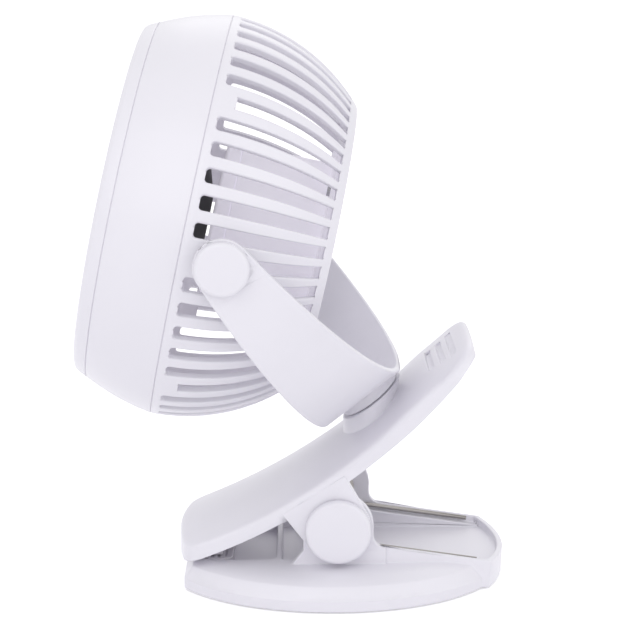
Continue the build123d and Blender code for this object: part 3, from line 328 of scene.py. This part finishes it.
def arc_path(start, middle, end, steps):
    """Points along the circle through three 2-D points, from start to end."""
    a, b, c = Vector(start), Vector(middle), Vector(end)
    d = 2 * (a.x * (b.y - c.y) + b.x * (c.y - a.y) + c.x * (a.y - b.y))
    a2, b2, c2 = a.length_squared, b.length_squared, c.length_squared
    centre = Vector((
        (a2 * (b.y - c.y) + b2 * (c.y - a.y) + c2 * (a.y - b.y)) / d,
        (a2 * (c.x - b.x) + b2 * (a.x - c.x) + c2 * (b.x - a.x)) / d,
    ))
    first = a - centre
    turn = first.angle_signed(c - centre)
    return [centre + Matrix.Rotation(-turn * k / steps, 2) @ first for k in range(steps + 1)]


def bowed(start, end, bow, steps):
    """An arc from start to end that bows away from the axis."""
    chord = Vector(end) - Vector(start)
    outward = Vector((chord.y, -chord.x)).normalized()
    if outward.x < 0:
        outward = -outward
    return arc_path(start, (Vector(start) + Vector(end)) / 2 + outward * bow, end, steps)


def finish_piece(piece, body, slot, *nodes):
    """Makes a piece ride on its body, take its slot's material and stand for its nodes."""
    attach(piece, body)
    if not piece.data.materials or piece.data.materials[0] != materials[slot]:
        piece.data.materials.clear()
        piece.data.materials.append(materials[slot])
    if nodes:
        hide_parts(*nodes)


# ================================================================ materials
def node_group(name, inputs, outputs):
    """An empty shader node group with its sockets, and its input and output nodes."""
    group = bpy.data.node_groups.new(name, "ShaderNodeTree")
    for socket_name, kind, value in inputs:
        socket = group.interface.new_socket(socket_name, in_out="INPUT", socket_type=kind)
        socket.default_value = value
    for socket_name, kind in outputs:
        group.interface.new_socket(socket_name, in_out="OUTPUT", socket_type=kind)
    return group, group.nodes.new("NodeGroupInput"), group.nodes.new("NodeGroupOutput")


def make_moulding_group():
    """A faint drift of colour, uneven gloss and fine grain, as colour, roughness and normal."""
    group, source, sink = node_group(
        "moulding",
        [
            ("Colour", "NodeSocketColor", (0.8, 0.8, 0.8, 1)),
            ("Drift", "NodeSocketFloat", 0.03),
            ("Roughness", "NodeSocketFloat", 0.35),
            ("Grain size", "NodeSocketFloat", 2500.0),
            ("Grain depth", "NodeSocketFloat", 0.02),
        ],
        [
            ("Colour", "NodeSocketColor"),
            ("Roughness", "NodeSocketFloat"),
            ("Normal", "NodeSocketVector"),
        ],
    )
    nodes, links = group.nodes, group.links
    where = nodes.new("ShaderNodeTexCoord")
    cloud = nodes.new("ShaderNodeTexNoise")
    cloud.inputs["Scale"].default_value = 30
    cloud.inputs["Detail"].default_value = 4
    links.new(where.outputs["Object"], cloud.inputs["Vector"])
    drift = nodes.new("ShaderNodeMapRange")
    drift.inputs["From Min"].default_value = 0.3
    drift.inputs["From Max"].default_value = 0.7
    drift.inputs["To Min"].default_value = 1
    links.new(cloud.outputs["Fac"], drift.inputs["Value"])
    least = nodes.new("ShaderNodeMath")
    least.operation = "SUBTRACT"
    least.inputs[0].default_value = 1
    links.new(source.outputs["Drift"], least.inputs[1])
    links.new(least.outputs[0], drift.inputs["To Max"])
    tint = nodes.new("ShaderNodeVectorMath")
    tint.operation = "SCALE"
    links.new(source.outputs["Colour"], tint.inputs[0])
    links.new(drift.outputs[0], tint.inputs["Scale"])
    links.new(tint.outputs[0], sink.inputs["Colour"])
    smudge = nodes.new("ShaderNodeTexNoise")
    smudge.inputs["Scale"].default_value = 75
    smudge.inputs["Detail"].default_value = 6
    links.new(where.outputs["Object"], smudge.inputs["Vector"])
    uneven = nodes.new("ShaderNodeMath")
    uneven.operation = "MULTIPLY_ADD"
    uneven.inputs[1].default_value = 0.10
    links.new(smudge.outputs["Fac"], uneven.inputs[0])
    links.new(source.outputs["Roughness"], uneven.inputs[2])
    links.new(uneven.outputs[0], sink.inputs["Roughness"])
    grain = nodes.new("ShaderNodeTexNoise")
    grain.inputs["Detail"].default_value = 3
    links.new(where.outputs["Object"], grain.inputs["Vector"])
    links.new(source.outputs["Grain size"], grain.inputs["Scale"])
    bump = nodes.new("ShaderNodeBump")
    bump.inputs["Distance"].default_value = 0.0001
    links.new(source.outputs["Grain depth"], bump.inputs["Strength"])
    links.new(grain.outputs["Fac"], bump.inputs["Height"])
    links.new(bump.outputs[0], sink.inputs["Normal"])
    return group


def moulded(
    name, colour, roughness, drift=0.02, grain_size=2500, grain_depth=0.05, metallic=0.0, **extra
):
    """A material with the moulding group in front of a Principled shader."""
    material = bpy.data.materials.new(name)
    material.use_nodes = True
    nodes, links = material.node_tree.nodes, material.node_tree.links
    shader = nodes["Principled BSDF"]
    group = nodes.new("ShaderNodeGroup")
    group.node_tree = moulding
    group.inputs["Colour"].default_value = (*colour, 1)
    group.inputs["Roughness"].default_value = roughness
    group.inputs["Drift"].default_value = drift
    group.inputs["Grain size"].default_value = grain_size
    group.inputs["Grain depth"].default_value = grain_depth
    shader.inputs["Metallic"].default_value = metallic
    for key, value in extra.items():
        shader.inputs[key.replace("_", " ")].default_value = value
    links.new(group.outputs["Colour"], shader.inputs["Base Color"])
    links.new(group.outputs["Roughness"], shader.inputs["Roughness"])
    links.new(group.outputs["Normal"], shader.inputs["Normal"])
    material.diffuse_color = (*colour, 1)
    return material


moulding = make_moulding_group()
PAINTED_INSIDE_LIGHT = (0.80, 0.77, 0.85, 1)    # painted light: a glow standing in for the light that the white shells pass on to their inside
RUBBER_GRAIN = 900
materials = {
    "white_gloss": moulded("white_gloss", (0.80, 0.785, 0.845), 0.27, grain_depth=0.03),
    "white_satin": moulded("white_satin", (0.79, 0.775, 0.835), 0.40, grain_depth=0.12),
    # white_inner glows: painted light on the motor housing, standing in for light passed on through the shells
    "white_inner": moulded(
        "white_inner", (0.82, 0.80, 0.86), 0.5, grain_depth=0.15,
        Emission_Color=PAINTED_INSIDE_LIGHT, Emission_Strength=0.24,
    ),
    # white_inside glows too: painted light on the shells' inward faces
    "white_inside": moulded(
        "white_inside", (0.80, 0.78, 0.84), 0.5, grain_depth=0.1,
        Emission_Color=PAINTED_INSIDE_LIGHT, Emission_Strength=0.14,
    ),
    "black_fan": moulded("black_fan", (0.010, 0.009, 0.012), 0.34, grain_depth=0.08),
    "steel": moulded("steel", (0.36, 0.34, 0.33), 0.30, metallic=1.0, grain_depth=0.1),
    "screw_steel": moulded("screw_steel", (0.42, 0.42, 0.44), 0.3, metallic=1.0),
    "pale_rubber": moulded(
        "pale_rubber", (0.62, 0.60, 0.65), 0.7, grain_size=RUBBER_GRAIN, grain_depth=0.3,
    ),
    "foot_rubber": moulded(
        "foot_rubber", (0.32, 0.32, 0.34), 0.8, grain_size=RUBBER_GRAIN, grain_depth=0.5,
    ),
    "board": moulded("board", (0.006, 0.05, 0.018), 0.35),
    "dark_part": moulded("dark_part", (0.006, 0.006, 0.007), 0.4),
    "lens": moulded("lens", (0.62, 0.70, 0.74), 0.15, Transmission_Weight=0.6),
    "badge": moulded("badge", (0.78, 0.765, 0.82), 0.20, grain_depth=0.02),
}
for entry in frame["record"]["subparts"]:
    cad_mesh = frame["nodes"][entry["node"]].data
    cad_mesh.materials.clear()
    cad_mesh.materials.append(materials[entry["material_slot"]])

# ================================================================ head shells
def cover_profile():
    """The rear cover's outer line, from the seam's soft edge to the opening in its back."""
    edge_r, edge_s = SEAM_R, SEAM_S - SEAM_GAP / 2
    side = bowed((edge_r, edge_s), (REAR_R, REAR_S), REAR_BOW, 26)
    soft = [
        Vector((edge_r - SHELL_EDGE * (1 - sin(turn)), edge_s - SHELL_EDGE * (1 - cos(turn))))
        for turn in (k * pi / 8 for k in range(4))
    ]
    before = side[-4]      # far enough up the side to clear the rounding
    corner = rounded([
        (before.x, before.y, 0), (REAR_R, REAR_S, REAR_CORNER), (OPENING_R, REAR_S, 0),
    ], 6)[1:]
    least_s = max(REAR_S + REAR_CORNER, corner[0].y + CORNER_GAP)
    body = [p for p in side if least_s < p.y < edge_s - SHELL_EDGE]
    width = corner[-2].x - OPENING_R
    ring = [Vector((OPENING_R + width * k / 5, REAR_S)) for k in (4, 3, 2, 1, 0)]
    return soft + body + corner[:-1] + ring


def inner_place(s):
    """How far inwards and how far forwards the inner wall lies behind a row of the outer one."""
    share = min(max((s - REAR_S) / REAR_CORNER, 0), 1)
    return SHELL * share, SHELL * (1 - share)


def radius_at(profile, s):
    """The outer radius of the cover at a distance along the axis."""
    for a, b in zip(profile, profile[1:]):
        if a.y >= s >= b.y and a.y > b.y:
            return a.x + (b.x - a.x) * (a.y - s) / (a.y - b.y)
    return profile[-1].x


def slot_half(s):
    """Half the width of a slot at a distance along the axis."""
    share = (SLOT_FRONT_S - s) / (SLOT_FRONT_S - SLOT_REAR_S)
    return SLOT_FRONT_HALF + (SLOT_REAR_HALF - SLOT_FRONT_HALF) * min(max(share, 0), 1)


def cover_rows(profile):
    """Rows of the cover from the seam to the opening: (radius, s, half width of the slot)."""
    marks = {}
    for angle in (k * pi / 12 for k in range(6, -1, -1)):
        s = SLOT_FRONT_S - SLOT_CORNER + SLOT_CORNER * sin(angle)
        marks[round(s, 6)] = slot_half(s) - SLOT_CORNER + SLOT_CORNER * cos(angle)
    for s in (SLOT_SHORT_S, SLOT_REAR_S, SLOT_PIVOT_S):
        marks[s] = slot_half(s)
    rows = [(radius_at(profile, s), s, half) for s, half in marks.items()]
    for p in profile:
        if p.y > REAR_S + SAME and min(abs(p.y - s) for s in marks) > ROW_GAP:
            past_corner = p.y < SLOT_FRONT_S
            rows.append((p.x, p.y, slot_half(p.y) - (0 if past_corner else SLOT_CORNER)))
    rows.sort(key=lambda row: -row[1])
    back = [p for p in profile if p.y <= REAR_S + SAME]
    return rows + [(p.x, p.y, slot_half(REAR_S) * p.x / REAR_R) for p in back]


def is_short(index):
    """The few slots beside each pivot that start further back."""
    from_pivot = index % (SLOTS // 2)
    return min(from_pivot, SLOTS // 2 - from_pivot) == SHORT_INDEX


def is_open(index, above, below):
    """Whether a slot is cut between these two rows."""
    start = SLOT_SHORT_S if is_short(index) else SLOT_FRONT_S
    if index % (SLOTS // 2) == 0:
        start = SLOT_PIVOT_S
    return above <= start + SAME and below >= SLOT_REAR_S - SAME


def cover_strip(index, rows, points, faces, slot_edges):
    """Adds one slot and the half bars beside it, an outer and an inner wall joined along the slot.

    Each outer point is followed by its inner one, so that one's number is higher by 1.
    """
    middle = 2 * pi * index / SLOTS
    half_pitch = pi / SLOTS
    base = len(points)
    for radius, s, half in rows:
        inward, forward = inner_place(s)
        if is_short(index) and s > SLOT_SHORT_S:
            half = slot_half(s)
        edge = asin(half / radius)
        turns = (-half_pitch, -edge, 0, edge, half_pitch)
        wall_turns = (-half_pitch, 0, 0, 0, half_pitch)
        for turn, wall_turn in zip(turns, wall_turns):
            outer = PIVOT + FRONT * s + spoke_at(middle + turn) * radius
            inner = outer - spoke_at(middle + wall_turn) * inward + FRONT * forward
            points += [outer, inner]

    def join_walls(a, b):
        faces.append((a, b, b + 1, a + 1))

    last = len(rows) - 1
    spot = [[base + (k * 5 + column) * 2 for column in range(5)] for k in range(len(rows))]
    gaps = [is_open(index, rows[k][1], rows[k + 1][1]) for k in range(last)]
    for k in range(last):
        for column in range(4):
            if gaps[k] and column in (1, 2):
                continue
            a, b = spot[k][column], spot[k][column + 1]
            c, d = spot[k + 1][column + 1], spot[k + 1][column]
            faces += [(a, b, c, d), (d + 1, c + 1, b + 1, a + 1)]
        if gaps[k]:
            for column in (1, 3):
                join_walls(spot[k][column], spot[k + 1][column])
                slot_edges.add((spot[k][column], spot[k + 1][column]))
        if k and gaps[k] != gaps[k - 1]:
            for column in (1, 2):
                join_walls(spot[k][column], spot[k][column + 1])
    if gaps[last - 1]:
        raise ValueError("a slot runs into the back")
    for k in (0, last):
        for column in range(4):
            join_walls(spot[k][column], spot[k][column + 1])


def paint_inside_glow(piece, lean, outline=None):
    """Gives the faces that look at the head's axis the inner material, which glows: painted light standing in for
    the light the shell passes on.

    Lean is how squarely they have to look at it, and an outline leaves out what lies near it.
    """
    piece.data.materials.append(materials["white_gloss"])
    # this second material glows: painted light on the inward faces
    piece.data.materials.append(materials["white_inside"])
    for face in piece.data.polygons:
        away = face.center - PIVOT
        s = away.dot(FRONT)
        out = away - FRONT * s
        within = outline is None or out.length < radius_at(outline, s) - INNER_SHARE * SHELL
        if within and face.normal.dot(out.normalized()) < -lean:
            face.material_index = 1
    return piece


def rear_cover():
    """The slotted cover, the long edges of its slots rounded, with a painted glow on its inside faces standing in
    for passed-on light.
    """
    outline = cover_profile()
    rows = cover_rows(outline)
    points, faces, slot_edges = [], [], set()
    for index in range(SLOTS):
        cover_strip(index, rows, points, faces, slot_edges)
    mesh = bpy.data.meshes.new("rear_cover_shell")
    mesh.from_pydata([tuple(p) for p in points], [], faces)
    piece = bpy.data.objects.new("rear_cover_shell", mesh)
    bpy.context.scene.collection.objects.link(piece)
    rounding = mesh.attributes.new("bevel_weight_edge", "FLOAT", "EDGE")
    for edge in mesh.edges:
        a, b = edge.vertices
        rounding.data[edge.index].value = float((a, b) in slot_edges or (b, a) in slot_edges)
    pick(piece)
    bpy.ops.object.mode_set(mode="EDIT")
    merge_points()
    bevelled(piece, SLOT_SOFT, 40, weighted=True)
    return paint_inside_glow(piece, 0.2, outline)


def mid_ring():
    """The plain bowed shell between the seam and the front ring, with a painted glow on its inside faces standing
    in for passed-on light.
    """
    start, end = (SEAM_R, SEAM_S + SEAM_GAP / 2), (BEZEL_R, BEZEL_S - SEAM_GAP / 2)
    outer = bowed(start, end, MID_BOW, 20)
    first, final = outer[0], outer[-1]
    back_lip, front_lip = first.y - SEAM_GAP, final.y + SEAM_GAP
    inner = [Vector((p.x - SHELL, p.y)) for p in reversed(outer)]
    path = rounded([
        (first.x, first.y, SHELL_EDGE),
        *((p.x, p.y, 0) for p in outer[1:-1]),
        (final.x, final.y, SHELL_EDGE),
        (final.x - LIP, final.y, 0),
        (final.x - LIP, front_lip, 0),
        (final.x - SHELL, front_lip, 0),
        *((p.x, p.y, 0) for p in inner[1:-1]),
        (first.x - SHELL, back_lip, 0),
        (first.x - LIP, back_lip, 0),
        (first.x - LIP, first.y, 0),
    ], 4, closed=True)
    return paint_inside_glow(spun("mid_shell_ring", path + path[:1], RING_STEPS), 0.5)


def front_ring():
    """The rounded ring that frames the grille."""
    back = BEZEL_S + SEAM_GAP / 2
    path = rounded([
        (BEZEL_R, back, SHELL_EDGE), (FRONT_R, FRONT_S, FRONT_ROUNDING),
        (BEZEL_BORE, FRONT_S, BORE_ROUNDING), (BEZEL_BORE, back, 0),
    ], 8, closed=True)
    return spun("front_ring", path + path[:1], RING_STEPS)


def turned_cap(name, node, centre):
    """A flat round cap with a soft outer edge, in the place of a side cap."""
    low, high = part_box(node)
    side = 1 if low[1] > 0 else -1
    inner_y, outer_y = (low[1], high[1]) if side > 0 else (high[1], low[1])
    radius = (high[0] - low[0]) / 2
    depth = abs(outer_y - inner_y)
    path = rounded([
        (0, depth, 0), (radius, depth, CAP_SOFT), (radius, 0, CAP_FOOT_SOFT), (0, 0, 0),
    ], 5)
    origin = Vector((centre.x, inner_y, centre.z))
    return spun(name, path, DISC_STEPS, origin, Vector((0, side, 0)), Vector((1, 0, 0)))


def finish_caps(name, body, centre):
    """Both side caps of one axle."""
    for node in (name + "_near", name + "_far"):
        finish_piece(turned_cap(node + "_disc", node, centre), body, "white_gloss", node)


# ================================================================ yoke and jaw
def off_the_pivot(spot):
    """True outside the seat of the pivot's caps, screws and washers."""
    away = spot - PIVOT
    return hypot(away.x, away.z) > PIVOT_SEAT_R


def off_the_skirt(spot):
    """True outside the patch where the jaw's ear lies on its skirt."""
    reach = hypot(spot.x - JAW_BEND.x, spot.z - JAW_BEND.z)
    return abs(spot.y) < EAR_PATCH_Y or reach > JAW_TOP_R + EAR_PATCH_DEPTH


def ramp(value, start, end):
    """0 before start, 1 past end, smooth between."""
    share = min(max((value - start) / (end - start), 0), 1)
    return share * share * (3 - 2 * share)


def moved_lever(x, y, z, across):
    """Where a point of the lever goes: a flatter end with rounder corners, and closer grips."""
    depth = hypot(x - JAW_BEND.x, z - JAW_BEND.z) - JAW_TOP_R
    turn = atan2(z - JAW_BEND.z, x - JAW_BEND.x)
    along = JAW_TOP_R * turn + END_SLANT * (depth + LEVER_CROWN)
    end = ramp(x, *LEVER_END)
    corner = max((abs(y) - CORNER_START) / CORNER_WIDTH, 0) ** 2
    pull = CORNER_PULL - CORNER_PULL_LESS * ramp(depth, *CORNER_DEPTH)
    slide = sum(shift * ramp(along, *stretch) for shift, stretch in GRIP_SHIFTS)
    slide += (END_SHIFT - pull * corner) * end
    rise = LEVER_RISE * ramp(x, *LEVER_STARTS) - END_SINKS * ramp(x, *END_SINKS_OVER)
    depth += END_FLAT * across * end - rise * (1 - ramp(depth, *TOP_SKIN))
    if depth > 0:
        depth -= depth * (SKIRT_CUT * end + SKIRT_CUT * ramp(along, *SKIRT_CUT_OVER))
    reach = JAW_TOP_R + depth
    turn += slide / JAW_TOP_R
    return JAW_BEND.x + reach * cos(turn), JAW_BEND.z + reach * sin(turn)


def swollen_jaw(spot):
    """The jaw with level ears, a higher collar, a crown swollen below the yoke and its lever."""
    x, y, z = spot
    if abs(y) > EAR_PROUD:
        y = EAR_LEVEL if y > 0 else -EAR_LEVEL
    depth = hypot(x - JAW_BEND.x, z - JAW_BEND.z) - JAW_TOP_R
    crown = (JAW_HALF ** 2 - y * y) / (2 * JAW_CROWN_R)
    if depth < -crown - COLLAR_CLEAR:
        slack = (spot - SWIVEL_SEAT).dot(SWIVEL_DOWN)
        if abs(slack - COLLAR_TOP) < COLLAR_BAND and abs(y) < COLLAR_HALF:
            return Vector((x, y, z)) - SWIVEL_DOWN * COLLAR_RISE
        return Vector((x, y, z))
    across = max(1 - (y / JAW_HALF) ** 2, 0)
    if depth < SWELL_DEPTH:
        z += SWELL * across * ramp(x, *SWELL_STARTS) * (1 - ramp(x, *SWELL_ENDS))
    if x > LEVER_STARTS[0]:
        x, z = moved_lever(x, y, z, across)
    return Vector((x, y, z))


# ================================================================ grille and impeller
def ring_path(outer, inner):
    """The rounded section of one of the grille's rings, closed."""
    path = rounded([
        (outer, GRILLE_BACK_S, GRILLE_SOFT), (outer, GRILLE_FRONT_S, GRILLE_SOFT),
        (inner, GRILLE_FRONT_S, GRILLE_SOFT), (inner, GRILLE_BACK_S, GRILLE_SOFT),
    ], 3, closed=True)
    return path + path[:1]


def grille():
    """The flat front grille: a rim, a middle, thin rings and one spoke that is copied round."""
    rim = spun("grille_bars", ring_path(GRILLE_R, GRILLE_RIM_BORE), BAR_STEPS)
    middle = rounded([
        (0, GRILLE_BACK_S, 0), (MIDDLE_R, GRILLE_BACK_S, GRILLE_SOFT),
        (MIDDLE_R, GRILLE_FRONT_S, GRILLE_SOFT), (0, GRILLE_FRONT_S, 0),
    ], 3)
    parts = [spun("grille_middle", middle, DISC_STEPS)]
    for radius in GRILLE_RINGS:
        path = ring_path(radius + SPOKE_WIDTH / 2, radius - SPOKE_WIDTH / 2)
        parts.append(spun("grille_ring", path, BAR_STEPS))
    pick()
    bpy.ops.mesh.primitive_cube_add(size=1)
    spoke = bpy.context.object
    length, depth = SPOKE_END_R - BADGE_R, GRILLE_FRONT_S - GRILLE_BACK_S
    middle_r, middle_s = (BADGE_R + SPOKE_END_R) / 2, (GRILLE_FRONT_S + GRILLE_BACK_S) / 2
    for corner in spoke.data.vertices:
        along, across, deep = corner.co
        corner.co = (
            PIVOT + SIDE * (middle_r + along * length) + UP * (across * SPOKE_WIDTH)
            + FRONT * (middle_s + deep * depth)
        )
    bevelled(spoke, GRILLE_SOFT, 50, 2)
    parts += [turned_copy(spoke, 2 * pi * index / SPOKES) for index in range(SPOKES)]
    bpy.data.objects.remove(spoke)
    pick(*parts, rim)
    bpy.ops.object.join()
    return rim


def centre_badge():
    """The plain round badge in the middle of the grille."""
    top = GRILLE_FRONT_S + BADGE_HEIGHT
    path = rounded([
        (0, GRILLE_FRONT_S, 0), (BADGE_R, GRILLE_FRONT_S, 0),
        (BADGE_R, top, BADGE_ROUNDING), (0, top, 0),
    ], 6)
    return spun("centre_badge", path, DISC_STEPS)


def impeller_wheel():
    """A black wheel: a domed hub, and one twisted blade that is copied round it."""
    path = rounded([
        (0, HUB_REAR_S, 0), (HUB_DOME_R, HUB_REAR_S, HUB_DOME_ROUNDING),
        (HUB_R, HUB_RIM_S, HUB_RIM_ROUNDING), (HUB_R, HUB_FRONT_S, HUB_ROUNDING),
        (0, HUB_FRONT_S, 0),
    ], 8)
    hub = spun("impeller_wheel", path, DISC_STEPS)
    pick()
    bpy.ops.mesh.primitive_grid_add(x_subdivisions=16, y_subdivisions=14, size=1)
    blade = bpy.context.object
    for corner in blade.data.vertices:
        share, outwards = corner.co.x, corner.co.y + 0.5
        radius = BLADE_ROOT_R + (BLADE_TIP_R - BLADE_ROOT_R) * outwards
        chord = BLADE_CHORD + BLADE_CHORD_GAIN * outwards
        twist = BLADE_TWIST[0] * outwards + BLADE_TWIST[1] * outwards * outwards
        pitch = radians(BLADE_PITCH + twist)
        bow = BLADE_BOW * (1 - 4 * share * share)
        turn = BLADE_TURN + (share * chord * cos(pitch) - bow * sin(pitch)) / radius
        forward = BLADE_MIDDLE_S + share * chord * sin(pitch) + bow * cos(pitch)
        corner.co = PIVOT + FRONT * forward + spoke_at(turn) * radius
    pick(blade)
    wall = blade.modifiers.new("wall", "SOLIDIFY")
    wall.thickness = BLADE_WALL
    wall.offset = 0
    bpy.ops.object.modifier_apply(modifier=wall.name)
    bevelled(blade, BLADE_SOFT, 50)
    others = [turned_copy(blade, 2 * pi * index / BLADES) for index in range(1, BLADES)]
    pick(blade, *others, hub)
    bpy.ops.object.join()
    return hub


# ================================================================ the pieces
finish_piece(rear_cover(), "head", "white_gloss", "rear_cover")
finish_piece(mid_ring(), "head", "white_gloss", "mid_shell")
finish_piece(front_ring(), "head", "white_gloss", "front_bezel")
finish_caps("pivot_cap", "yoke", PIVOT)

SOFT_PIECES = (            # node, body, slot, width of the soft edges, flat angle
    ("lower_grip_pad", "base", "pale_rubber", 0.00025, 0),
    ("jaw_grip_pad", "jaw", "pale_rubber", 0.0002, 0),
    ("rear_panel", "head", "white_satin", 0.0004, 0.1),
    ("motor_housing", "head", "white_inner", 0.0004, 0.1),
    ("torsion_spring_near", "base", "steel", 0, 0),
    ("torsion_spring_far", "base", "steel", 0, 0),
)
for node, body, slot, width, flat in SOFT_PIECES:
    finish_piece(softened(node, width, flat=flat), body, slot, node)

yoke = softened("yoke", 0.0007, where=off_the_pivot)
finish_piece(yoke, "yoke", "white_gloss", "yoke")
finish_piece(softened("base_shell", 0.0005), "base", "white_gloss", "base_shell")
jaw = softened("jaw_shell", 0.00018, where=off_the_skirt, reshape=swollen_jaw)
finish_piece(jaw, "jaw", "white_gloss", "jaw_shell")
finish_caps("hinge_cap", "base", HINGE)
finish_piece(impeller_wheel(), "impeller", "black_fan", "impeller")
finish_piece(grille(), "head", "white_satin", "front_grille")
finish_piece(centre_badge(), "head", "badge", "grille_badge")

# ================================================================ camera, lights and floor
CAMERA_PLACE = (-0.01376, -0.60644, 0.24136)
CAMERA_LOOK = Vector((0.008178, 0.971464, -0.237044))
LENS = 98.27               # mm, before a sensor 36 mm wide
LAMP_AIM = Vector((-0.02, 0, 0.1))
LAMPS = (                  # name, place, size, power
    ("key", (-0.7, -1.3, 1.2), 1.6, 7.5),
    ("fill", (1.2, -0.9, 0.6), 1.6, 4),
    ("back", (0.2, 1.4, 1.2), 1.2, 3),
)
FLOOR_SIZE = 40
SKY_LIGHTING = 0.80        # strength of the white surroundings as a lamp
SKY_SEEN = 1.0             # and where the camera or a mirror sees them
FLOOR_SEEN = 0.38          # how much the floor glows where it is seen

camera_data = bpy.data.cameras.new("camera")
camera_data.lens = LENS
camera_data.sensor_width = 36
camera_data.clip_end = 20
camera = bpy.data.objects.new("camera", camera_data)
bpy.context.scene.collection.objects.link(camera)
camera.location = CAMERA_PLACE
camera.rotation_euler = CAMERA_LOOK.to_track_quat("-Z", "Y").to_euler()
bpy.context.scene.camera = camera

for name, place, size, power in LAMPS:
    lamp_data = bpy.data.lights.new(name, "AREA")
    lamp_data.size = size
    lamp_data.energy = power
    lamp = bpy.data.objects.new(name, lamp_data)
    lamp.location = place
    lamp.rotation_euler = (LAMP_AIM - Vector(place)).to_track_quat("-Z", "Y").to_euler()
    bpy.context.scene.collection.objects.link(lamp)


def seen_strength(tree, lighting, seen):
    """A strength with one value as a lamp and another where the camera or a mirror sees it."""
    nodes, links = tree.nodes, tree.links
    path = nodes.new("ShaderNodeLightPath")
    total = path.outputs["Is Camera Ray"]
    for ray in ("Is Glossy Ray", "Is Transmission Ray"):
        either = nodes.new("ShaderNodeMath")
        either.operation = "MAXIMUM"
        links.new(total, either.inputs[0])
        links.new(path.outputs[ray], either.inputs[1])
        total = either.outputs[0]
    level = nodes.new("ShaderNodeMapRange")
    level.inputs["To Min"].default_value = lighting
    level.inputs["To Max"].default_value = seen
    links.new(total, level.inputs["Value"])
    return level.outputs[0]


world = bpy.data.worlds.new("studio")
world.use_nodes = True
world_tree = world.node_tree
background = world_tree.nodes["Background"]
background.inputs["Color"].default_value = (1.0, 1.0, 1.0, 1)
strength = seen_strength(world_tree, SKY_LIGHTING, SKY_SEEN)
world_tree.links.new(strength, background.inputs["Strength"])
bpy.context.scene.world = world
bpy.context.scene.view_settings.view_transform = "Standard"

pick()
bpy.ops.mesh.primitive_plane_add(size=FLOOR_SIZE)
floor = bpy.context.object
floor.name = "floor"
floor_material = moulded("floor", (0.93, 0.925, 0.95), 0.8, grain_size=200, grain_depth=0.0)
floor_tree = floor_material.node_tree
floor_shader = floor_tree.nodes["Principled BSDF"]
floor_shader.inputs["Emission Color"].default_value = (1, 1, 1, 1)
glow = seen_strength(floor_tree, 0.0, FLOOR_SEEN)
floor_tree.links.new(glow, floor_shader.inputs["Emission Strength"])
floor.data.materials.append(floor_material)
